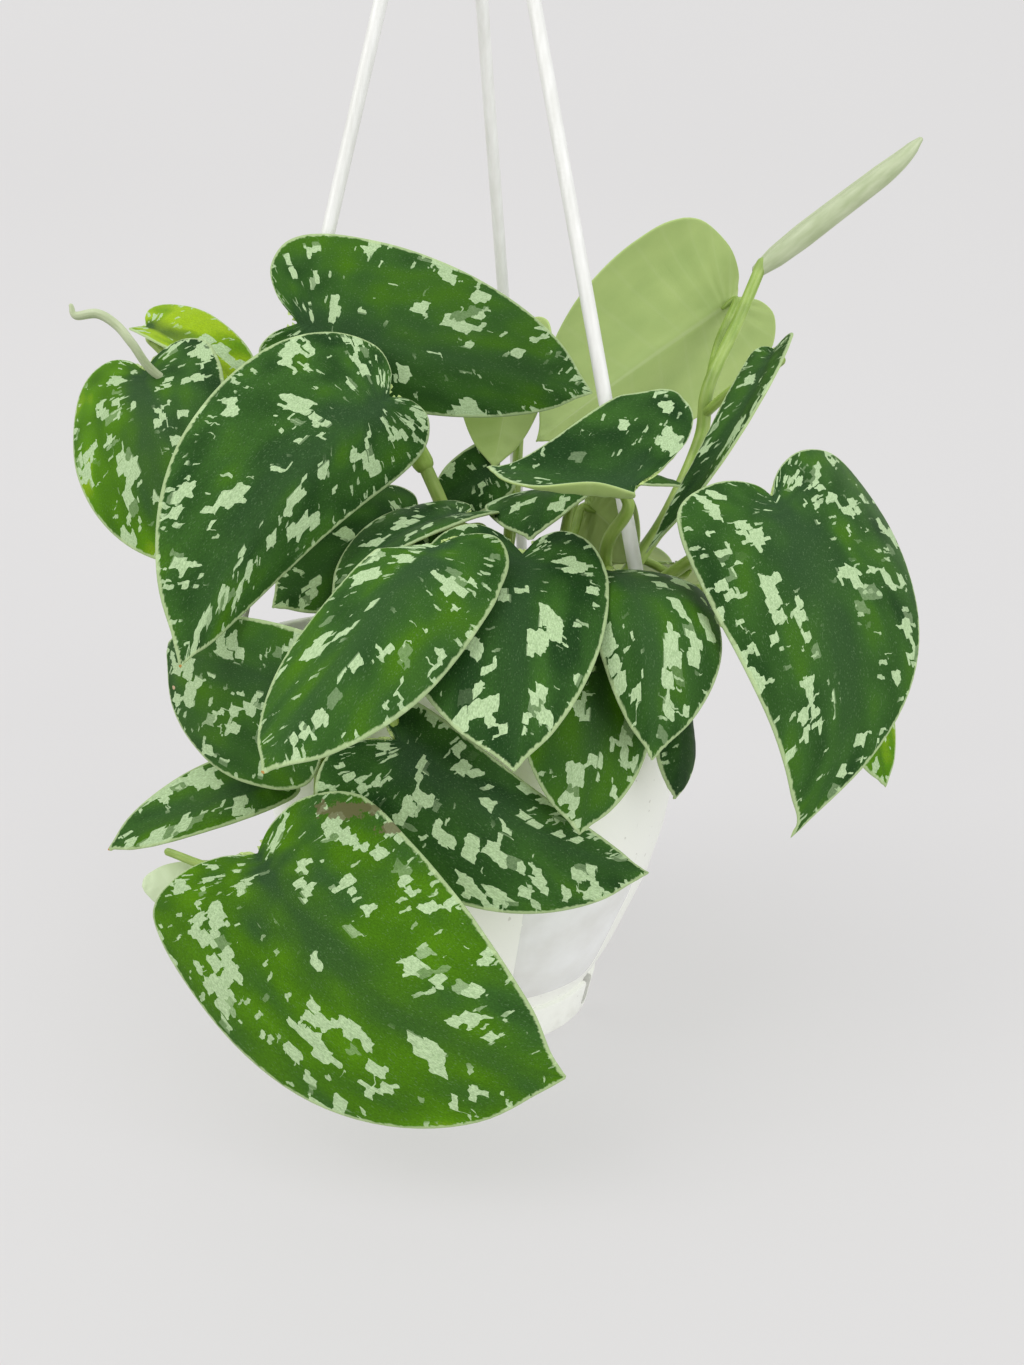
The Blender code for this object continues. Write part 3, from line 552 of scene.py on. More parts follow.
def turnedShell(profile, columns):
    # Rings about the pot's axis: (height, radius) to (radius cos, radius sin, height), closed at both poles.
    shell = newShell()
    profile = np.asarray(profile, float)
    angle = np.linspace(0, 2 * math.pi, columns, endpoint=False)
    height, radius = profile[1:-1, :1], profile[1:-1, 1:]
    rings = np.stack([radius * np.cos(angle), radius * np.sin(angle), height + 0 * angle], axis=-1)
    quads, tris = ringFaces(len(rings), columns)
    points = np.vstack([rings.reshape(-1, 3), [[0, 0, profile[0, 0]], [0, 0, profile[-1, 0]]]])
    addToShell(shell, points, quads, tris, 0)
    return shell


def cutSlots(piece):
    # Takes the drain slots out of the foot with round-edged boxes.
    low, high = pot["slotHeights"]
    inner, outer = pot["slotReach"]
    length = (outer - inner) * mm
    middle = ((inner + outer) / 2 * mm, 0, (low + high) / 2 * mm)
    cutters = []
    for k in range(pot["slots"]):
        shape = bmesh.new()
        bmesh.ops.create_cube(shape, size=1)
        bmesh.ops.scale(shape, vec=(length, pot["slotWidth"] * mm, (high - low) * mm), verts=shape.verts)
        bmesh.ops.translate(shape, vec=middle, verts=shape.verts)
        turn = math.radians(pot["slotFirst"] + 360 * k / pot["slots"])
        bmesh.ops.rotate(shape, cent=(0, 0, 0), matrix=Matrix.Rotation(turn, 3, "Z"), verts=shape.verts)
        along = [edge for edge in shape.edges if abs(edge.calc_length() - length) < 1e-6]
        bmesh.ops.bevel(shape, geom=along, offset=pot["slotCorner"] * mm, segments=3, affect="EDGES",
                        profile=0.5)
        mesh = bpy.data.meshes.new("slot")
        shape.to_mesh(mesh)
        shape.free()
        cutters.append(addObject("slot", mesh))
        cut = piece.modifiers.new("slot", "BOOLEAN")
        cut.operation = "DIFFERENCE"
        cut.object = cutters[-1]
    graph = bpy.context.evaluated_depsgraph_get()
    mesh = bpy.data.meshes.new_from_object(piece.evaluated_get(graph))
    piece.modifiers.clear()
    piece.data = mesh
    mesh.set_sharp_from_angle(angle=math.radians(pot["crisp"]))
    for cutter in cutters:
        bpy.data.objects.remove(cutter, do_unlink=True)


def buildPot():
    # A turned wall: foot, flared side, a rim with a rounded lip, and the inside down to the floor.
    low, lip = pot["rimLow"], pot["lip"]
    top = pot["height"] - lip
    rim = [(low - 0.2, 65.6), (low, 67.4), (low + 0.5, pot["rimRadius"]), (top, pot["rimRadius"])]
    rim += arcPoints(top, pot["rimRadius"] - lip, lip, 0.4, math.pi / 2, 3)
    rim += arcPoints(top, pot["rimInner"] + lip, lip, math.pi / 2, math.pi, 4)
    profile = [(0, 0), (0, 35.7), *pot["outside"], *rim, *pot["inside"], (pot["inside"][-1][0], 0)]
    piece = shellObject("potWall", turnedShell(profile, pot["columns"]), [mouldedPot], pot["crisp"])
    cutSlots(piece)
    ridePiece(piece, "pot_white", "pot")


label = {"angles": (-74, -33), "heights": (17, 55), "lift": 0.15, "edgeLift": 0.02, "depth": 0.6,
         "roundness": 10, "rows": 24, "columns": 32}


def potRadiusAt(height):
    profile = np.array(pot["outside"])
    return np.interp(height, profile[:, 0], profile[:, 1])


def buildLabel():
    # A thin film on the pot: a grid over angle and height, closed by its own back.
    # Its corners are rounded by drawing the square in: max(|u|, |v|) / (|u|^n + |v|^n)^(1/n).
    u, v = np.meshgrid(np.linspace(-1, 1, label["columns"] + 1), np.linspace(-1, 1, label["rows"] + 1))
    power = label["roundness"]
    square = np.maximum(abs(u), abs(v))
    shrink = square / np.maximum((abs(u) ** power + abs(v) ** power) ** (1 / power), 1e-9)
    low, high = label["angles"]
    angle = np.radians((low + high) / 2 + u * shrink * (high - low) / 2)
    bottom, top = label["heights"]
    height = (bottom + top) / 2 + v * shrink * (top - bottom) / 2
    radius = potRadiusAt(height) + np.where(square > 0.99, label["edgeLift"], label["lift"])
    front = np.stack([radius * np.cos(angle), radius * np.sin(angle), height], axis=-1)
    back = front - np.stack([np.cos(angle), np.sin(angle), 0 * angle], axis=-1) * label["depth"]
    index = np.arange(front.size // 3).reshape(front.shape[:2])
    size = index.size
    loop = np.concatenate([index[0, :-1], index[:-1, -1], index[-1, :0:-1], index[:0:-1, 0]])
    after = np.roll(loop, -1)
    walls = np.stack([after, loop, loop + size, after + size], axis=1)
    quads = np.vstack([gridFaces(index), gridFaces(index)[:, ::-1] + size, walls])
    shell = newShell()
    addToShell(shell, np.vstack([front.reshape(-1, 3), back.reshape(-1, 3)]), quads, [], 0)
    piece = shellObject("blankLabel", shell, [blankLabel], 50)
    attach(piece, "root")
    print("made label")


soil = {
    "top": 101, "dome": 1.5, "radius": 62, "columns": 200, "rings": 44,
    "side": [(2.7, 32.0), (16, 37.7), (32, 45.7), (60, 56.3), (100, 61.8)],
    "lumps": [(2.2, 9, 1), (1.4, 4, 2), (0.9, 1.8, 3)],  # height, width and seed of each size of lump
    "crumbs": 420, "crumbReach": 60, "crumbSizes": (0.6, 2.5), "crumbShape": (1.4, 1.0, 0.7), "seed": 7,
}


def bumps(x, y, size, seed):
    # Value noise: random heights on a lattice of this size, joined by a smooth step.
    # The two shifts keep the lattice's lines off the pot's axis.
    cells = 64
    lattice = np.random.default_rng(seed).random((cells, cells))
    gx, gy = x / size + 31.7, y / size + 27.3
    ix, iy = np.floor(gx).astype(int), np.floor(gy).astype(int)
    fx, fy = gx - ix, gy - iy
    fx, fy = fx * fx * (3 - 2 * fx), fy * fy * (3 - 2 * fy)
    a, b = lattice[ix % cells, iy % cells], lattice[(ix + 1) % cells, iy % cells]
    c, d = lattice[ix % cells, (iy + 1) % cells], lattice[(ix + 1) % cells, (iy + 1) % cells]
    return a * (1 - fx) * (1 - fy) + b * fx * (1 - fy) + c * (1 - fx) * fy + d * fx * fy - 0.5


def soilHeight(x, y):
    # A low dome, top + dome * (1 - share of the radius squared), with lumps of three sizes.
    share = np.hypot(x, y) / soil["radius"]
    height = soil["top"] + soil["dome"] * (1 - share ** 2)
    for tall, wide, seed in soil["lumps"]:
        height = height + tall * bumps(x, y, wide, seed)
    return height


def soilCrumbs():
    # Each crumb: corners of an icosahedron at uneven distances, flattened, turned and set on the soil.
    random = np.random.default_rng(soil["seed"])
    ico = bmesh.new()
    bmesh.ops.create_icosphere(ico, subdivisions=1, radius=1)
    corners = np.array([v.co for v in ico.verts])
    faces = np.array([[v.index for v in f.verts] for f in ico.faces])
    ico.free()
    count = soil["crumbs"]
    away = soil["crumbReach"] * np.sqrt(random.random(count))
    turn = random.random(count) * 2 * math.pi
    small, large = soil["crumbSizes"]
    size = small + (large - small) * random.random(count) ** 2
    shape = corners[None] * (0.7 + 0.6 * random.random((count, len(corners), 1)))
    shape = shape * size[:, None, None] * np.array(soil["crumbShape"])
    spin = random.random(count) * 2 * math.pi
    cosine, sine = np.cos(spin)[:, None], np.sin(spin)[:, None]
    middleX, middleY = away * np.cos(turn), away * np.sin(turn)
    x = shape[..., 0] * cosine - shape[..., 1] * sine + middleX[:, None]
    y = shape[..., 0] * sine + shape[..., 1] * cosine + middleY[:, None]
    z = shape[..., 2] + (soilHeight(middleX, middleY) + 0.1 * size)[:, None]
    tris = (faces[None] + len(corners) * np.arange(count)[:, None, None]).reshape(-1, 3)
    return np.stack([x, y, z], axis=-1), tris


def buildSoil():
    # A turned block whose top is raised by noise, with crumbs half sunk in it.
    shoulder = soil["side"][-1][0]
    surface = [(soil["top"], radius) for radius in np.linspace(61.6, 2, soil["rings"])]
    shell = turnedShell([(2.7, 0), *soil["side"], *surface, (soil["top"], 0)], soil["columns"])
    points = shell["points"][0]
    upper = points[:, 2] >= shoulder
    points[upper, 2] = soilHeight(points[upper, 0], points[upper, 1])
    crumbs, tris = soilCrumbs()
    addToShell(shell, crumbs, [], tris, 0)
    ridePiece(shellObject("soilBed", shell, [compost], 50), "soil_brown", "soil")


rods = {
    "radius": 1.85, "footFlare": 0.10, "footRadius": 67.2, "footHeight": 118, "crossing": 371, "head": 359,
    # piece, node, angle about the pot, and how far to one side the rod crosses the axis
    "places": [("rodLeft", "rod_left", 194, 1.6), ("rodBack", "rod_back", 75, -2.0),
               ("rodRight", "rod_right", -45, 0.8)],
    "clipWidth": 8, "clipOuter": 70.2,
    "tabInner": 64.4, "tabHeights": (115.3, 121), "tabCorner": 1.2,
    "legInner": 68.3, "legHeights": (105, 118), "legCorner": 0.8,
}


def rodEnds(angle, swing):
    # Foot on the rim and head in the hub: the rod leans in towards the crossing above the hub.
    turn = math.radians(angle)
    radius, low = rods["footRadius"], rods["footHeight"]
    foot = np.array([radius * math.cos(turn), radius * math.sin(turn), low])
    crossing = np.array([swing, 0, rods["crossing"]])
    share = (rods["head"] - low) / (rods["crossing"] - low)
    return foot, foot + (crossing - foot) * share


def roundedBar(shell, corners, width, angle):
    # A bar swept across the clip: a flat outline in (radius, height) with its ends drawn in to round them.
    outline = np.asarray(corners, float)
    away = unit(outline - outline.mean(0))
    sweep = np.array([-0.5, -0.46, -0.40, 0.40, 0.46, 0.5])[:, None] * width
    inset = np.array([0.6, 0.2, 0.0, 0.0, 0.2, 0.6])[:, None, None]
    flat = outline[None] - away[None] * inset
    turn = math.radians(angle)
    x = flat[..., 0] * math.cos(turn) - sweep * math.sin(turn)
    y = flat[..., 0] * math.sin(turn) + sweep * math.cos(turn)
    rings = np.stack([x, y, flat[..., 1]], axis=-1)
    quads, tris = ringFaces(len(sweep), len(outline))
    points = np.vstack([rings.reshape(-1, 3), rings[0].mean(0), rings[-1].mean(0)])
    addToShell(shell, points, quads, tris, 0)


def roundedOutline(inner, outer, heights, corner):
    # Outline of a flat rectangle in (radius, height), each corner turned with five points.
    low, high = heights
    middles = [(outer - corner, high - corner), (inner + corner, high - corner),
               (inner + corner, low + corner), (outer - corner, low + corner)]
    points = []
    for k, (radius, height) in enumerate(middles):
        arc = arcPoints(height, radius, corner, k * math.pi / 2, (k + 1) * math.pi / 2, 5)
        points += [(arcRadius, arcHeight) for arcHeight, arcRadius in arc]
    return points


def buildRod(name, node, angle, swing):
    # A round bar on a clip: a tab that lies on the rim and a leg down its outside.
    shell = newShell()
    foot, head = rodEnds(angle, swing)
    walk = np.linspace(0, 1, 14)
    path = foot + (head - foot) * walk[:, None]
    radii = rods["radius"] * (1 + rods["footFlare"] * np.exp(-walk * 30))
    leansSideways = abs(math.cos(math.radians(angle))) > 0.5
    addTube(shell, path, radii, 28, 0, wide=(0, 1, 0) if leansSideways else (1, 0, 0))
    for part in ("tab", "leg"):
        outline = roundedOutline(rods[part + "Inner"], rods["clipOuter"], rods[part + "Heights"],
                                 rods[part + "Corner"])
        roundedBar(shell, outline, rods["clipWidth"], angle)
    ridePiece(shellObject(name, shell, [mouldedHanger], 45), "hanger_white", node)


hanger = {
    "hubLow": 353, "hubTop": 363, "hubRadius": 10.5, "edge": 1.5,
    "collar": [(0, 5.2), (0.6, 3.8), (2.5, 3.0), (3.2, 2.6), (3.2, 0)],  # height above the hub, radius
    "wire": 2.4, "shank": 14, "bend": 13, "start": 270, "sweep": 285,  # the hook's turn in degrees
}


def buildHanger():
    # A turned hub with a rounded edge and a collar, and a hook of round bar: a straight shank that
    # goes on as an arc about the centre, open at its end.
    edge = hanger["edge"]
    low, top, radius = hanger["hubLow"], hanger["hubTop"], hanger["hubRadius"]
    profile = [(low, 0), (low, radius - edge - 1)]
    profile += arcPoints(low + edge, radius - edge, edge, -math.pi / 2, 0, 5)
    profile += arcPoints(top - edge, radius - edge, edge, 0, math.pi / 2, 5)
    profile += [(top + height, size) for height, size in hanger["collar"]]
    shell = turnedShell(profile, 64)
    centre = top + hanger["shank"] + hanger["bend"]
    turn = np.radians(hanger["start"] - hanger["sweep"] * np.linspace(0, 1, 60))
    loop = np.stack([hanger["bend"] * np.cos(turn), 0 * turn, centre + hanger["bend"] * np.sin(turn)], axis=1)
    path = np.vstack([[[0, 0, top - 3], [0, 0, top + 5]], loop])
    addTube(shell, path, np.full(len(path), hanger["wire"]), 28, 0, wide=(0, 1, 0))
    ridePiece(shellObject("hangerHook", shell, [mouldedHanger], 45), "hanger_white", "hanger_hook")


buildPot()
buildLabel()
buildSoil()
for rodName, rodNode, rodAngle, rodSwing in rods["places"]:
    buildRod(rodName, rodNode, rodAngle, rodSwing)
buildHanger()


# Leaves

# Half outline of a heart-shaped blade: share of the half width, share of the length.
halfOutline = [
    (0.04, -0.012), (0.22, -0.085), (0.50, -0.125), (0.80, -0.075), (0.96, 0.05), (1.0, 0.19),
    (0.985, 0.35), (0.90, 0.53), (0.72, 0.70), (0.45, 0.85), (0.16, 0.945), (0.012, 1.0),
]
# Where on the midrib each side vein starts, as the outline is walked from notch to tip.
outlineWalk = [0, .1, .27, .36, .45, .55, .64, .73, .82, .91, 1.0]
veinStart = [0, .012, .045, .07, .14, .26, .42, .6, .78, .91, 1.0]

blade = {
    "rows": 60, "halfColumns": 22, "thickness": 0.7, "edgeRound": 0.55, "ridge": 0.5,
    "groove": 0.45, "grooveWidth": 1.1, "quilt": 0.10, "veins": 13, "wave": 0.5, "waves": 3.1,
    "fullWidth": 50,  # narrower leaves have a lower groove and wave
}

# Each leaf: base (where the petiole meets it), tip, the way its upper side faces, width.
# arch lifts the midrib, and archSkew moves its top towards base or tip; vee and curl move each edge up.
# bow and bowSkew bend the leaf sideways, and swing is how far its veins turn with the bend.
# halves and lobes are each side's share of the half width and of the lobe beside the notch.
# sweep draws a side's margin towards the base, taper narrows it towards the tip, and fullness
# above one makes the outline slimmer at its ends. Pairs are the left half, then the right one,
# as seen from the base with the upper side up.
leafShapes = {
    "top": dict(
        base=(-44, -20, 201), tip=(36, 5, 185), face=(.1, -.93, .08), width=56,
        arch=6, vee=(-1, -6), curl=(-4, -3), lobe=.8, halves=(.93, .62), taper=(.1, 0)),
    "upperLeft": dict(
        base=(-19, -28, 182), tip=(-63, -74, 119), face=(.3, -.88, .3), width=66,
        arch=4, vee=(-16, -1), curl=(-5, -5), bow=7, swing=.2, halves=(.6, .87), lobes=(.8, .9),
        sweep=(-.1, 0), taper=(.45, .1)),
    "farLeft": dict(
        base=(-92, 0, 191), tip=(-69, -28, 138), face=(-.25, -.85, .3), width=56,
        arch=4, vee=(-2, -2), curl=(-3, -3), bow=4, halves=(.85, 1), taper=(0, .15)),
    "farLeftYoung": dict(
        base=(-98, 22, 206), tip=(-63, 14, 182), face=(.2, -.6, .7), width=32,
        arch=4, vee=(4, 8), curl=(-3, -3), halves=(1, .5), lobes=(1, .2)),
    "frontLeft": dict(
        base=(-4, -72, 147), tip=(-38, -104, 103), face=(-.1, -.75, .6), width=39,
        arch=4, vee=(-5, 0), curl=(-3, -3), halves=(.92, .6), lobes=(1.3, 0), sweep=(0, -.15),
        taper=(-.2, 0)),
    "frontCentre": dict(
        base=(15, -61, 144), tip=(13, -96, 101), face=(.1, -.75, .65), width=43,
        arch=4, vee=(-1, -1), curl=(-1, -3), lobe=1.5, halves=(1, 1.2), taper=(.25, -.15)),
    "frontRight": dict(
        base=(-14, -77, 103), tip=(46, -68, 67), face=(-.1, -.88, .42), width=50,
        arch=4, vee=(-3, -2), curl=(-2, -2), bow=4, halves=(.45, 1.05), taper=(.35, .2)),
    "lowFront": dict(
        base=(-44, -89, 80), tip=(24, -106, 36), face=(-.2, -.97, .15), width=63,
        arch=5, vee=(-6, -2), curl=(-4, -3), bow=8, halves=(.91, 1.14), lobes=(.6, .45),
        taper=(.05, .05), sweep=(-.05, .03)),
    "lowLeft": dict(
        base=(-48, -54, 86), tip=(-91, -55, 68), face=(-.2, -.75, .6), width=30,
        arch=3, vee=(-2, -2), curl=(-2, -2), halves=(.5, .85)),
    "midLeft": dict(
        base=(-35, -74, 114), tip=(-76, -44, 119), face=(-.66, -.72, .2), width=66,
        arch=4, vee=(-1, -4), curl=(-3, -4), halves=(.78, .4), fullness=.8),
    "innerLeft": dict(
        base=(0, -25, 152), tip=(-33, -48, 131), face=(-.2, -.3, .95), width=26,
        arch=5, vee=(4, 4), curl=(-2, -2)),
    "innerLeftLow": dict(
        base=(-14, -20, 150), tip=(-50, -38, 128), face=(-.1, -.9, .4), width=34,
        arch=4, vee=(-2, -2), curl=(-2, -2)),
    "innerCentre": dict(
        base=(28, -8, 158), tip=(17, -43, 146), face=(-.3, -.3, .9), width=38,
        arch=5, vee=(2, 2), curl=(-2, -2)),
    "centreCurled": dict(
        base=(42, -57, 160), tip=(7, -71, 164), face=(0, -.45, .9), width=44,
        arch=-1, vee=(-4, 18), curl=(34, -2), halves=(.6, 1.05), lobes=(0, 1.5), taper=(0, .5),
        sweep=(-.2, .5)),
    "backRightTall": dict(
        base=(84, 45, 217), tip=(20, 32, 172), face=(.1, .95, .35), width=58,
        arch=3, vee=(-2, 8), curl=(-4, -2), halves=(1.2, .95), lobes=(.8, 1), fullness=1.2,
        sweep=(-.08, 0), taper=(.1, 0)),
    "rightNarrow": dict(
        base=(87, 2, 197), tip=(47, -35, 142), face=(-.8, -.45, .3), width=17,
        arch=2, vee=(3, 3), curl=(-1, -1), bow=-8, bowSkew=.6, swing=.5, lobe=.3),
    "rightLarge": dict(
        base=(74.5, -56, 157), tip=(76, -82, 81), face=(.25, -.95, .2), width=56,
        arch=6, vee=(-2, -2), curl=(-4, -4), bow=-12, bowSkew=1, swing=0,
        halves=(1.45, 1.05), lobes=(.8, .6), taper=(.5, .3), sweep=(.2, -.08), fullness=1.3),
    "rightOverRim": dict(
        base=(37, -52, 139), tip=(44, -81, 99), face=(.15, -.6, .8), width=36,
        arch=12, vee=(-1, -12), curl=(-3, -3), archSkew=-.6, halves=(1.25, .6), lobes=(.3, 1)),
    "frontLowRight": dict(
        base=(34, -62, 120), tip=(28, -80, 81), face=(.2, -.9, .4), width=38,
        arch=4, vee=(-1, -1), curl=(-2, -2), halves=(.75, 1)),
    "rightLow": dict(
        base=(55, -50, 103), tip=(54, -54, 81), face=(.7, -.7, .1), width=18,
        arch=2, vee=(-1, -1), curl=(-2, -2)),
    "farRightYoung": dict(
        base=(103, -22, 118), tip=(115, -34, 78), face=(.5, -.8, .1), width=28,
        arch=2, vee=(-1, -1), curl=(-2, -2)),
    "lowLeftPale": dict(
        base=(-46, -57, 56), tip=(-80, -62, 62), face=(-.2, -.85, .5), width=16,
        arch=2, vee=(-1, -1), curl=(-2, -2), lobe=.3, fullness=.5),
    "backCupped": dict(
        base=(13, 18, 202), tip=(7, 6, 164), face=(-.3, -.9, .1), width=28,
        arch=-2, vee=(5, 5), curl=(2, 2)),
    "innerRightThin": dict(
        base=(35, 2, 163), tip=(66, 8, 158), face=(0, -.2, .98), width=20,
        arch=2, vee=(-1, -1), curl=(-1, -1)),
    "innerBack": dict(
        base=(8, 8, 164), tip=(-12, 14, 150), face=(-.1, -.9, .3), width=20,
        arch=2, vee=(1, 1), curl=(-1, -1)),
    "innerBackRight": dict(
        base=(36, 19, 153), tip=(50, 5, 137), face=(.3, .8, .4), width=26,
        arch=2, vee=(1, 1), curl=(-1, -1)),
    "backRight": dict(
        base=(45, 60, 138), tip=(58, 104, 94), face=(.15, .7, .7), width=46,
        arch=9, vee=(-2, -2), curl=(-3, -3)),
    "backLeft": dict(
        base=(-22, 58, 136), tip=(-48, 104, 96), face=(-.2, .7, .7), width=60,
        arch=8, vee=(-2, -2), curl=(-3, -3)),
    "leftBack": dict(
        base=(-52, 30, 150), tip=(-88, 62, 132), face=(-.6, .3, .7), width=46,
        arch=7, vee=(-2, -2), curl=(-3, -3)),
    "backLow": dict(
        base=(-13, 66, 122), tip=(-14, 102, 66), face=(0, .85, .5), width=44,
        arch=8, vee=(-2, -2), curl=(-3, -3)),
    "rightBack": dict(
        base=(66, 26, 134), tip=(98, 40, 100), face=(.6, .4, .6), width=42,
        arch=7, vee=(-2, -2), curl=(-3, -3)),
}

# Tone of each leaf, from deep green at 0 to yellow-green at 1, and how much more silver it carries.
# The low tones of the inner leaves frontCentre and rightOverRim are painted shade, darker than their own
# green.
leafTintsAndShade = {
    "lowFront": (0.50, 0.005), "farLeft": (0.42, 0.01), "farLeftYoung": (1.0, 0),
    "frontLowRight": (0.40, 0.015), "rightOverRim": (0.30, 0.01), "lowLeft": (0.42, 0),
    "midLeft": (0.30, 0.06), "rightLarge": (0.26, 0.005),
    "upperLeft": (0.24, 0.01), "top": (0.28, -0.03), "frontLeft": (0.32, 0), "frontCentre": (0.12, 0),
    "frontRight": (0.18, 0.03), "farRightYoung": (0.75, 0), "rightLow": (0.05, -0.3),
    "centreCurled": (0.16, -0.03), "lowLeftPale": (1.0, 0),
}
# Tone gained at the right margin, and lost at the left one.
toneTilts = {"farLeft": 0.3, "lowFront": 0.06}
# Leaves that turn their lower side to the front.
turnedLeaves = ("lowLeftPale", "backCupped")

# Each leafy stem: its foot in the soil, its route upward, a radius at each end, its petioles.
# A petiole starts inside the stem and ends at the named leaf; a shoot carries no blade.
leafyStems = {
    "stem_upper_left": dict(
        foot=(-2, -6), route=[(-3, -8, 125), (-5, -12, 147), (-13, -16, 168)], radius=(2.3, 1.9),
        petioles=dict(
            upperLeft=[(-12, -15, 165), (-17, -21, 175)],
            farLeft=[(-4, -9, 128), (-22, 8, 147), (-50, 12, 166), (-80, 6, 183)],
            farLeftYoung=[(-55, 11, 168), (-80, 20, 184), (-95, 25, 199)]),
        shoots=[dict(route=[(-78, 5, 182), (-88, -4, 190), (-92, -8, 197), (-96, -8, 202),
                            (-101, -8, 205), (-107, -8, 204.5), (-108, -8, 207)],
                     radius=(1.4, .7))]),
    "stem_top": dict(
        foot=(-16, 8), route=[(-18, 4, 125), (-23, -3, 150), (-33, -5, 176)], radius=(2.0, 1.5),
        petioles=dict(top=[(-31, -5, 170), (-41, -13, 190)])),
    "stem_back_right_tall": dict(
        foot=(38, 10), route=[(44, 13, 125), (60, 20, 148), (71, 25, 172), (73, 25, 188),
                              (82, 28, 208), (89, 30, 225)], radius=(2.6, 1.8),
        petioles=dict(
            backRightTall=[(73, 26, 187), (78, 36, 203)],
            rightNarrow=[(72, 25, 180), (79, 14, 187)]),
        shoots=[dict(route=[(88, 30, 223), (108, 25, 238), (124, 21, 250), (131, 20, 257)],
                     radius=(3.5, .8))]),
    "stem_right": dict(
        foot=(30, -14), route=[(34, -15, 118), (52, -20, 132), (70, -32, 147)], radius=(2.2, 1.7),
        petioles=dict(
            rightLarge=[(65, -28, 143), (72, -43, 152)],
            farRightYoung=[(48, -19, 128), (78, -14, 130)])),
    "stem_inner_right": dict(
        foot=(20, 4), route=[(24, 2, 122), (27, 3, 136)], radius=(2.0, 1.5),
        petioles=dict(
            innerCentre=[(24, 2, 124), (28, -4, 147)],
            innerRightThin=[(26, 3, 132), (30, 3, 152)],
            innerBackRight=[(26, 3, 128), (32, 14, 146)])),
    "stem_front": dict(
        foot=(6, -36), route=[(7, -38, 116), (9, -42, 130)], radius=(2.2, 1.6),
        petioles=dict(
            frontLeft=[(8, -40, 124), (2, -57, 140)],
            frontCentre=[(9, -41, 127), (14, -50, 138)])),
    "stem_front_right": dict(
        foot=(-8, -44), route=[(-9, -50, 112), (-11, -58, 121)], radius=(2.0, 1.6),
        petioles=dict(frontRight=[(-10, -55, 118), (-13, -68, 123), (-15, -77, 115)])),
    "stem_front_low": dict(
        foot=(22, -42), route=[(24, -47, 112), (27, -51, 120)], radius=(1.8, 1.5),
        petioles=dict(
            frontLowRight=[(26, -50, 118), (31, -56, 125)])),
    "stem_low_left": dict(
        foot=(-26, -36), route=[(-29, -41, 112), (-37, -52, 121)], radius=(2.3, 1.8),
        petioles=dict(
            lowFront=[(-35, -49, 119), (-38, -61, 117), (-33, -67, 97), (-33, -74, 80),
                      (-39, -82, 75)],
            midLeft=[(-34, -48, 118), (-33, -62, 121)],
            lowLeft=[(-35, -49, 119), (-42, -57, 119), (-49, -58, 104)],
            lowLeftPale=[(-33, -67, 97), (-35, -62, 82), (-38, -57, 64)]),
        shoots=[dict(route=[(-33, -67, 97), (-36, -62, 80), (-46, -63, 68), (-60, -65, 67),
                            (-73, -62, 70)], radius=(1.4, 1.1), tone=.2)]),
    "stem_right_front": dict(
        foot=(38, -26), route=[(39, -28, 118), (38, -36, 132)], radius=(2.2, 1.7),
        petioles=dict(
            rightOverRim=[(38, -34, 129), (37, -44, 138)],
            centreCurled=[(38, -34, 129), (36, -46, 144), (40, -54, 153)],
            rightLow=[(39, -28, 118), (52, -32, 124), (61, -40, 118), (60, -46, 108)])),
    "stem_inner_left": dict(
        foot=(4, -19), route=[(4, -20, 120), (4, -21, 134)], radius=(1.9, 1.5),
        petioles=dict(
            innerLeft=[(4, -21, 130), (5, -21, 146)],
            innerLeftLow=[(4, -20, 124), (-8, -17, 141)])),
    "stem_inner_back": dict(
        foot=(8, 14), route=[(9, 16, 125), (13, 22, 150), (15, 25, 180)], radius=(2.0, 1.5),
        petioles=dict(
            backCupped=[(15, 24, 174), (15, 22, 196)],
            innerBack=[(11, 18, 138), (12, 10, 158)])),
    "stem_back_right": dict(
        foot=(16, 30), route=[(19, 33, 117), (25, 41, 129)], radius=(2.2, 1.7),
        petioles=dict(
            backRight=[(23, 40, 127), (38, 52, 137)],
            rightBack=[(20, 35, 119), (48, 32, 135)])),
    "stem_back_left": dict(
        foot=(-12, 30), route=[(-14, 37, 118), (-17, 46, 127)], radius=(2.2, 1.7),
        petioles=dict(
            backLeft=[(-16, 44, 125), (-21, 53, 134)],
            leftBack=[(-14, 37, 118), (-34, 35, 140)],
            backLow=[(-15, 40, 121), (-13, 56, 127)])),
}


def leafFrame(leaf):
    # Base point, along, across and up directions, and length of one leaf.
    base = np.asarray(leaf["base"], float)
    along = np.asarray(leaf["tip"], float) - base
    length = np.linalg.norm(along)
    along = along / length
    face = np.asarray(leaf["face"], float)
    up = unit(face - along * (face @ along))
    return base, along, np.cross(along, up), up, length


def archHeight(leaf, y):
    # Height of the midrib at share y of the length: arch * 4y(1-y), skewed towards base or tip.
    return leaf["arch"] * 4 * y * (1 - y) * (1 + leaf.get("archSkew", 0) * (y - 0.5))


def bowReach(leaf, y):
    # Sideways reach of the midrib at share y of the length, and its slope.
    bow, skew = leaf.get("bow", 0), leaf.get("bowSkew", 0)
    lean = 1 + skew * (y - 0.5)
    return bow * 4 * y * (1 - y) * lean, bow * (4 * (1 - 2 * y) * lean + 4 * y * (1 - y) * skew)


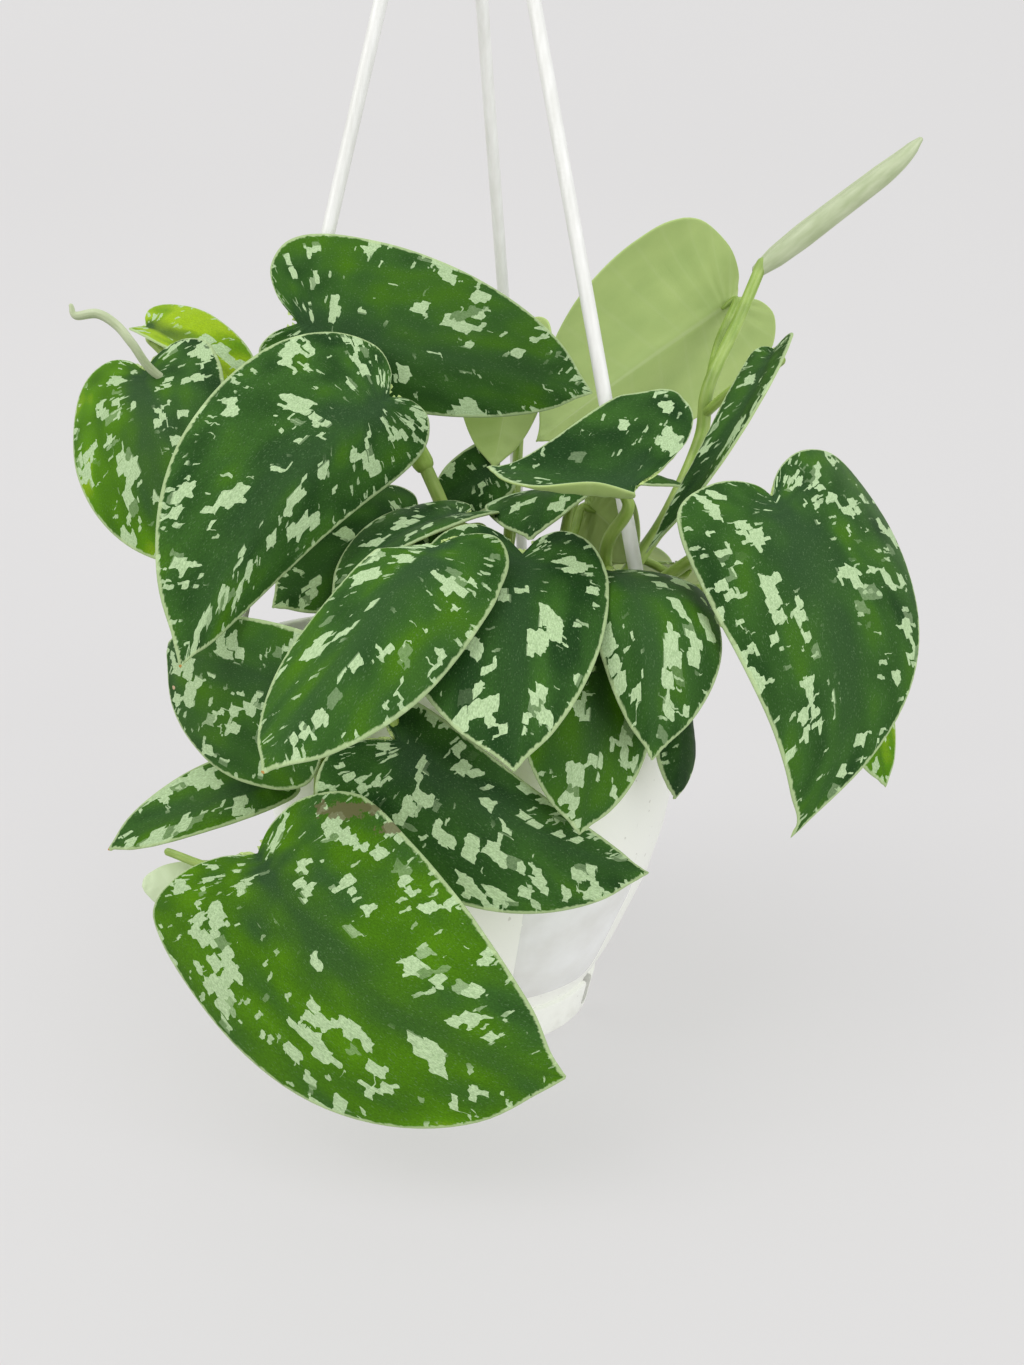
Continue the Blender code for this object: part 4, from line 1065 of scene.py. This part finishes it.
def bladeSurface(leaf, seed):
    # Each row runs from the left margin over the midrib to the right, along a pair of side veins.
    # Height = arch * 4y(1-y) + vee * |x| (rounded at the midrib) + curl * |x| cubed
    # + a groove along the midrib + low quilting between veins + a slow wave at the margin.
    base, along, across, up, length = leafFrame(leaf)
    rows, columns = blade["rows"], blade["halfColumns"]
    walk = np.linspace(0, 1, rows + 1)[:, None]
    s = np.sin(np.linspace(-1, 1, 2 * columns + 1) * math.pi / 2)[None, :]
    rightSide = s > 0

    def bySide(name, usual=(0, 0)):
        left, right = leaf.get(name, usual)
        return np.where(rightSide, right, left)

    outline = smoothCurve(halfOutline, rows + 1)
    reach = np.clip(outline[:, :1], 0, None) ** leaf.get("fullness", 1)
    margin = outline[:, 1:]
    margin = np.where(margin < 0, margin * bySide("lobes", (1, 1)) * leaf.get("lobe", 1), margin)
    midrib = np.interp(walk, outlineWalk, veinStart)
    y = midrib * (1 - abs(s)) + (margin - bySide("sweep") * reach) * abs(s)
    taper = 1 - bySide("taper") * np.clip(y, 0, 1)
    x = reach * s * bySide("halves", (1, 1)) * taper
    height = bySide("vee") * (np.sqrt(x ** 2 + 0.02) - math.sqrt(0.02))
    height = height + bySide("curl") * abs(x) ** 3 + archHeight(leaf, np.clip(y, -0.3, 1.05))
    x = x * leaf["width"] / 2
    small = min(1.0, leaf["width"] / blade["fullWidth"])
    groove = np.exp(-(x / blade["grooveWidth"]) ** 2) * np.clip(1 - y, 0, 1)
    quilting = np.cos(2 * math.pi * (walk * blade["veins"] + seed * 0.37)) * np.sin(abs(s) * math.pi)
    ripple = np.sin(2 * math.pi * (walk * blade["waves"] + seed * 0.61 + 0.35 * rightSide))
    ripple = ripple * abs(s) ** 4 * np.sin(walk * math.pi)
    height = height + blade["quilt"] * quilting + small * (blade["wave"] * ripple - blade["groove"] * groove)
    onLeaf = np.clip(y, 0, 1)
    bend, slope = bowReach(leaf, onLeaf)
    bend = bend + slope * (y - onLeaf)
    turn = np.arctan2(slope, length) * leaf.get("swing", 1)
    sideways = bend + x * np.cos(turn)
    forward = y * length - x * np.sin(turn)
    top = base + forward[..., None] * along + sideways[..., None] * across + height[..., None] * up
    middle = top[:, columns:columns + 1]
    leftLength = np.linalg.norm(top[:, :1] - middle, axis=2)
    rightLength = np.linalg.norm(top[:, -1:] - middle, axis=2)
    return top, s, walk, np.where(rightSide, rightLength, leftLength)


def addBlade(shell, leaf, seed, tint, tilt, kinds):
    # Upper and lower sheet share their margin, where the thickness runs out in a round edge:
    # half the thickness * sqrt(1 - near squared), near rising from 0 to 1 at the margin.
    # tint is tone and silver, tilt adds tone across the leaf, kinds are the two sheets' materials.
    top, s, walk, veinLength = bladeSurface(leaf, seed)
    up, length = leafFrame(leaf)[3:]
    columns = blade["halfColumns"]
    normal = unit(np.cross(np.gradient(top, axis=0), np.gradient(top, axis=1)))
    normal = normal * np.where(normal @ up < 0, -1, 1)[..., None]
    normal[0] = normal[2, columns]
    normal[-1] = normal[-3, columns]
    toEnds = np.minimum(walk, 1 - walk) * length * 1.2
    toMargin = (1 - abs(s)) * veinLength
    near = 1 - np.clip(np.minimum(toMargin, toEnds) / blade["edgeRound"], 0, 1)
    body = np.sqrt(np.clip(1 - near ** 2, 0, 1)) * blade["thickness"] / 2
    ridge = blade["ridge"] * np.exp(-(s * veinLength) ** 2) * (1 - walk) * np.clip(walk * 12, 0, 1)
    middle = top - normal * blade["thickness"] / 2
    upper = middle + normal * body[..., None]
    lower = middle - normal * (body + ridge * (body > 0))[..., None]
    index = np.arange(upper.size // 3).reshape(upper.shape[:2])
    quads = np.vstack([gridFaces(index), gridFaces(index)[:, ::-1] + index.size])
    kind = np.repeat(kinds, len(quads) // 2)
    vein = np.stack(np.broadcast_arrays(walk * length, s * veinLength, seed * 41.0), axis=-1)
    lie = np.stack(np.broadcast_arrays(abs(s), toMargin, walk), axis=-1)
    colours = np.stack(np.broadcast_arrays(tint[0] + tilt * s, tint[1], 0 * walk), axis=-1)
    both = [np.stack([part, part]) for part in (vein, lie, colours)]
    addToShell(shell, np.stack([upper, lower]), quads, [], kind, *both)


# Petiole: radius along its length, and thicker ones by name.
petiole = {"walk": [0, 0.6, 0.85, 1.0], "radius": [1.0, 0.85, 0.72, 0.36], "size": 1.6,
           "thicker": {"upperLeft": 3.0, "rightLarge": 1.9, "lowFront": 1.8, "centreCurled": 1.8}}


def petiolePath(start, leaf, size):
    # The petiole's end lies under the blade, along the midrib, the lower the thicker it is.
    base, along, across, up, length = leafFrame(leaf)
    reach = min(5, length * 0.15)
    drop = 0.75 * size + 0.3
    lift = archHeight(leaf, reach / length) - drop
    under = base + along * reach + across * bowReach(leaf, reach / length)[0] + up * lift
    return [*start, base + along * 1.5 - up * (drop + 2.5), under]


# A rolled young leaf: share of its length, share of its full thickness.
rolledShare = [(0, 0.45), (0.08, 0.85), (0.2, 1.0), (0.6, 0.85), (0.9, 0.35), (1.0, 0.0)]


def addPetiole(shell, start, leafName):
    size = petiole["thicker"].get(leafName, petiole["size"])
    route = petiolePath(start, leafShapes[leafName], size)
    path = smoothCurve(route, 10 * len(route))
    radii = size * np.interp(np.linspace(0, 1, len(path)), petiole["walk"], petiole["radius"])
    addTube(shell, path, radii, 16, 2, wide=(0.3, 1, 0.1))


def addShoot(shell, shoot):
    path = smoothCurve(shoot["route"], 10 * len(shoot["route"]))
    thick, thin = shoot["radius"]
    radii = thin + (thick - thin) * np.interp(np.linspace(0, 1, len(path)), *zip(*rolledShare))
    addTube(shell, path, radii, 32, 2, 0.75, (0.3, 1, 0.1), tone=shoot.get("tone", 1), roll=0.3)


def buildStem(name, node, stem, number):
    # One piece: the stem, rooted in the soil, with its leaves, their petioles and its rolled shoots.
    shell = newShell()
    x, y = stem["foot"]
    route = smoothCurve([(x, y, soil["top"] + 2.5), *stem["route"]], 12 * len(stem["route"]))
    path = np.vstack([[(x, y, soil["top"] - 10)], route])
    addTube(shell, path, np.linspace(*stem["radius"], len(path)), 20, 2, wide=(0.3, 1, 0))
    for k, (leafName, start) in enumerate(stem["petioles"].items()):
        seed = number * 5 + k + 1  # another one for each leaf, so no two have the same markings
        kinds = (1, 0) if leafName in turnedLeaves else (0, 1)
        tint = leafTintsAndShade.get(leafName, (0.2, 0))
        addBlade(shell, leafShapes[leafName], seed, tint, toneTilts.get(leafName, 0), kinds)
        addPetiole(shell, start, leafName)
    for shoot in stem.get("shoots", []):
        addShoot(shell, shoot)
    piece = shellObject(name, shell, [satinLeaf, leafUnderside, greenStalk], 70)
    ridePiece(piece, "leaf_satin", node)


for number, (stemName, stem) in enumerate(leafyStems.items()):
    words = stemName.split("_")
    buildStem(words[0] + "".join(word.capitalize() for word in words[1:]), stemName, stem, number)


# Studio

studio = {
    # the sweep in metres: width, rows of its flat part, distance and height of the wall, radius of the bend
    "width": 3.0, "flat": [-1.4, -0.6, 0.0], "backDistance": 0.75, "wallHeight": 1.8, "bend": 0.45,
    "paper": (0.24, 0.235, 0.235), "paperShade": (0.225, 0.22, 0.22),
    "glow": 0.46,  # the paper's own light keeps the shadows on it faint
    "room": (0.97, 0.98, 1.0), "roomLight": 0.62,
}


def buildFloor():
    # A paper sweep: flat floor, a quarter circle, then a wall behind.
    bend, back = studio["bend"], studio["backDistance"]
    turn = np.linspace(0.05, math.pi / 2, 24)
    arc = zip(back - bend + bend * np.sin(turn), bend * (1 - np.cos(turn)))
    flat = [(y, 0.0) for y in (*studio["flat"], back - bend)]
    profile = np.array([*flat, *arc, (back, studio["wallHeight"])])
    x = np.linspace(-studio["width"] / 2, studio["width"] / 2, 9)
    points = np.stack(np.broadcast_arrays(x, profile[:, :1], profile[:, 1:]), axis=-1)
    index = np.arange(points.size // 3).reshape(points.shape[:2])
    mesh = bpy.data.meshes.new("paperSweep")
    mesh.from_pydata(points.reshape(-1, 3).tolist(), [], gridFaces(index).tolist())
    mesh.shade_smooth()
    material, tree, shader = newMaterial("palePaper", 0.75, Emission_Color=(1.0, 0.99, 0.985, 1),
                                         Emission_Strength=studio["glow"])
    cloudy = noise(tree, objectPlace(tree), 0.004, 3.0)
    colour = blendColour(tree, cloudy, studio["paperShade"], studio["paper"])
    tree.links.new(colour, shader.inputs["Base Color"])
    mesh.materials.append(material)
    addObject("paperSweep", mesh)


# Name, place in metres, size, power and colour; each points at the plant.
lamps = [
    ("windowLight", (-1.1, -0.8, 1.2), 1.2, 12, (1.0, 0.99, 0.97)),
    ("skyLight", (0.0, -0.2, 1.7), 2.4, 11, (0.98, 0.99, 1.0)),
    ("fillLight", (1.0, -1.1, 0.7), 1.3, 11, (0.98, 0.99, 1.0)),
]
lampTarget = (0, 0, 0.12)


def buildLamps():
    for name, spot, size, power, colour in lamps:
        data = bpy.data.lights.new(name, "AREA")
        data.size = size
        data.energy = power
        data.color = colour
        lamp = addObject(name, data)
        lamp.location = spot
        x, y, z = np.subtract(lampTarget, spot)
        lamp.rotation_euler = (math.atan2(math.hypot(x, y), -z), 0, math.atan2(-x, y))
    world = bpy.data.worlds.new("softRoom")
    world.use_nodes = True
    background = world.node_tree.nodes["Background"].inputs
    background["Color"].default_value = (*studio["room"], 1)
    background["Strength"].default_value = studio["roomLight"]
    bpy.context.scene.world = world
    bpy.context.scene.view_settings.view_transform = "Standard"


# Place in metres, pitch in degrees, sensor in millimetres, focus and height of the frame in photo pixels.
camera = {"place": (0.0125, -0.303, 0.1625), "pitch": 78.4, "sensor": 36, "focus": 1025, "frameHeight": 1365}


def buildCamera():
    data = bpy.data.cameras.new("photoCamera")
    data.sensor_fit = "VERTICAL"
    data.sensor_height = camera["sensor"]
    data.sensor_width = camera["sensor"]
    data.lens = camera["sensor"] * camera["focus"] / camera["frameHeight"]
    data.clip_start = 0.01
    eye = addObject("photoCamera", data)
    eye.location = camera["place"]
    eye.rotation_euler = (math.radians(camera["pitch"]), 0, 0)
    bpy.context.scene.camera = eye


buildFloor()
buildLamps()
buildCamera()
print("studio ready")
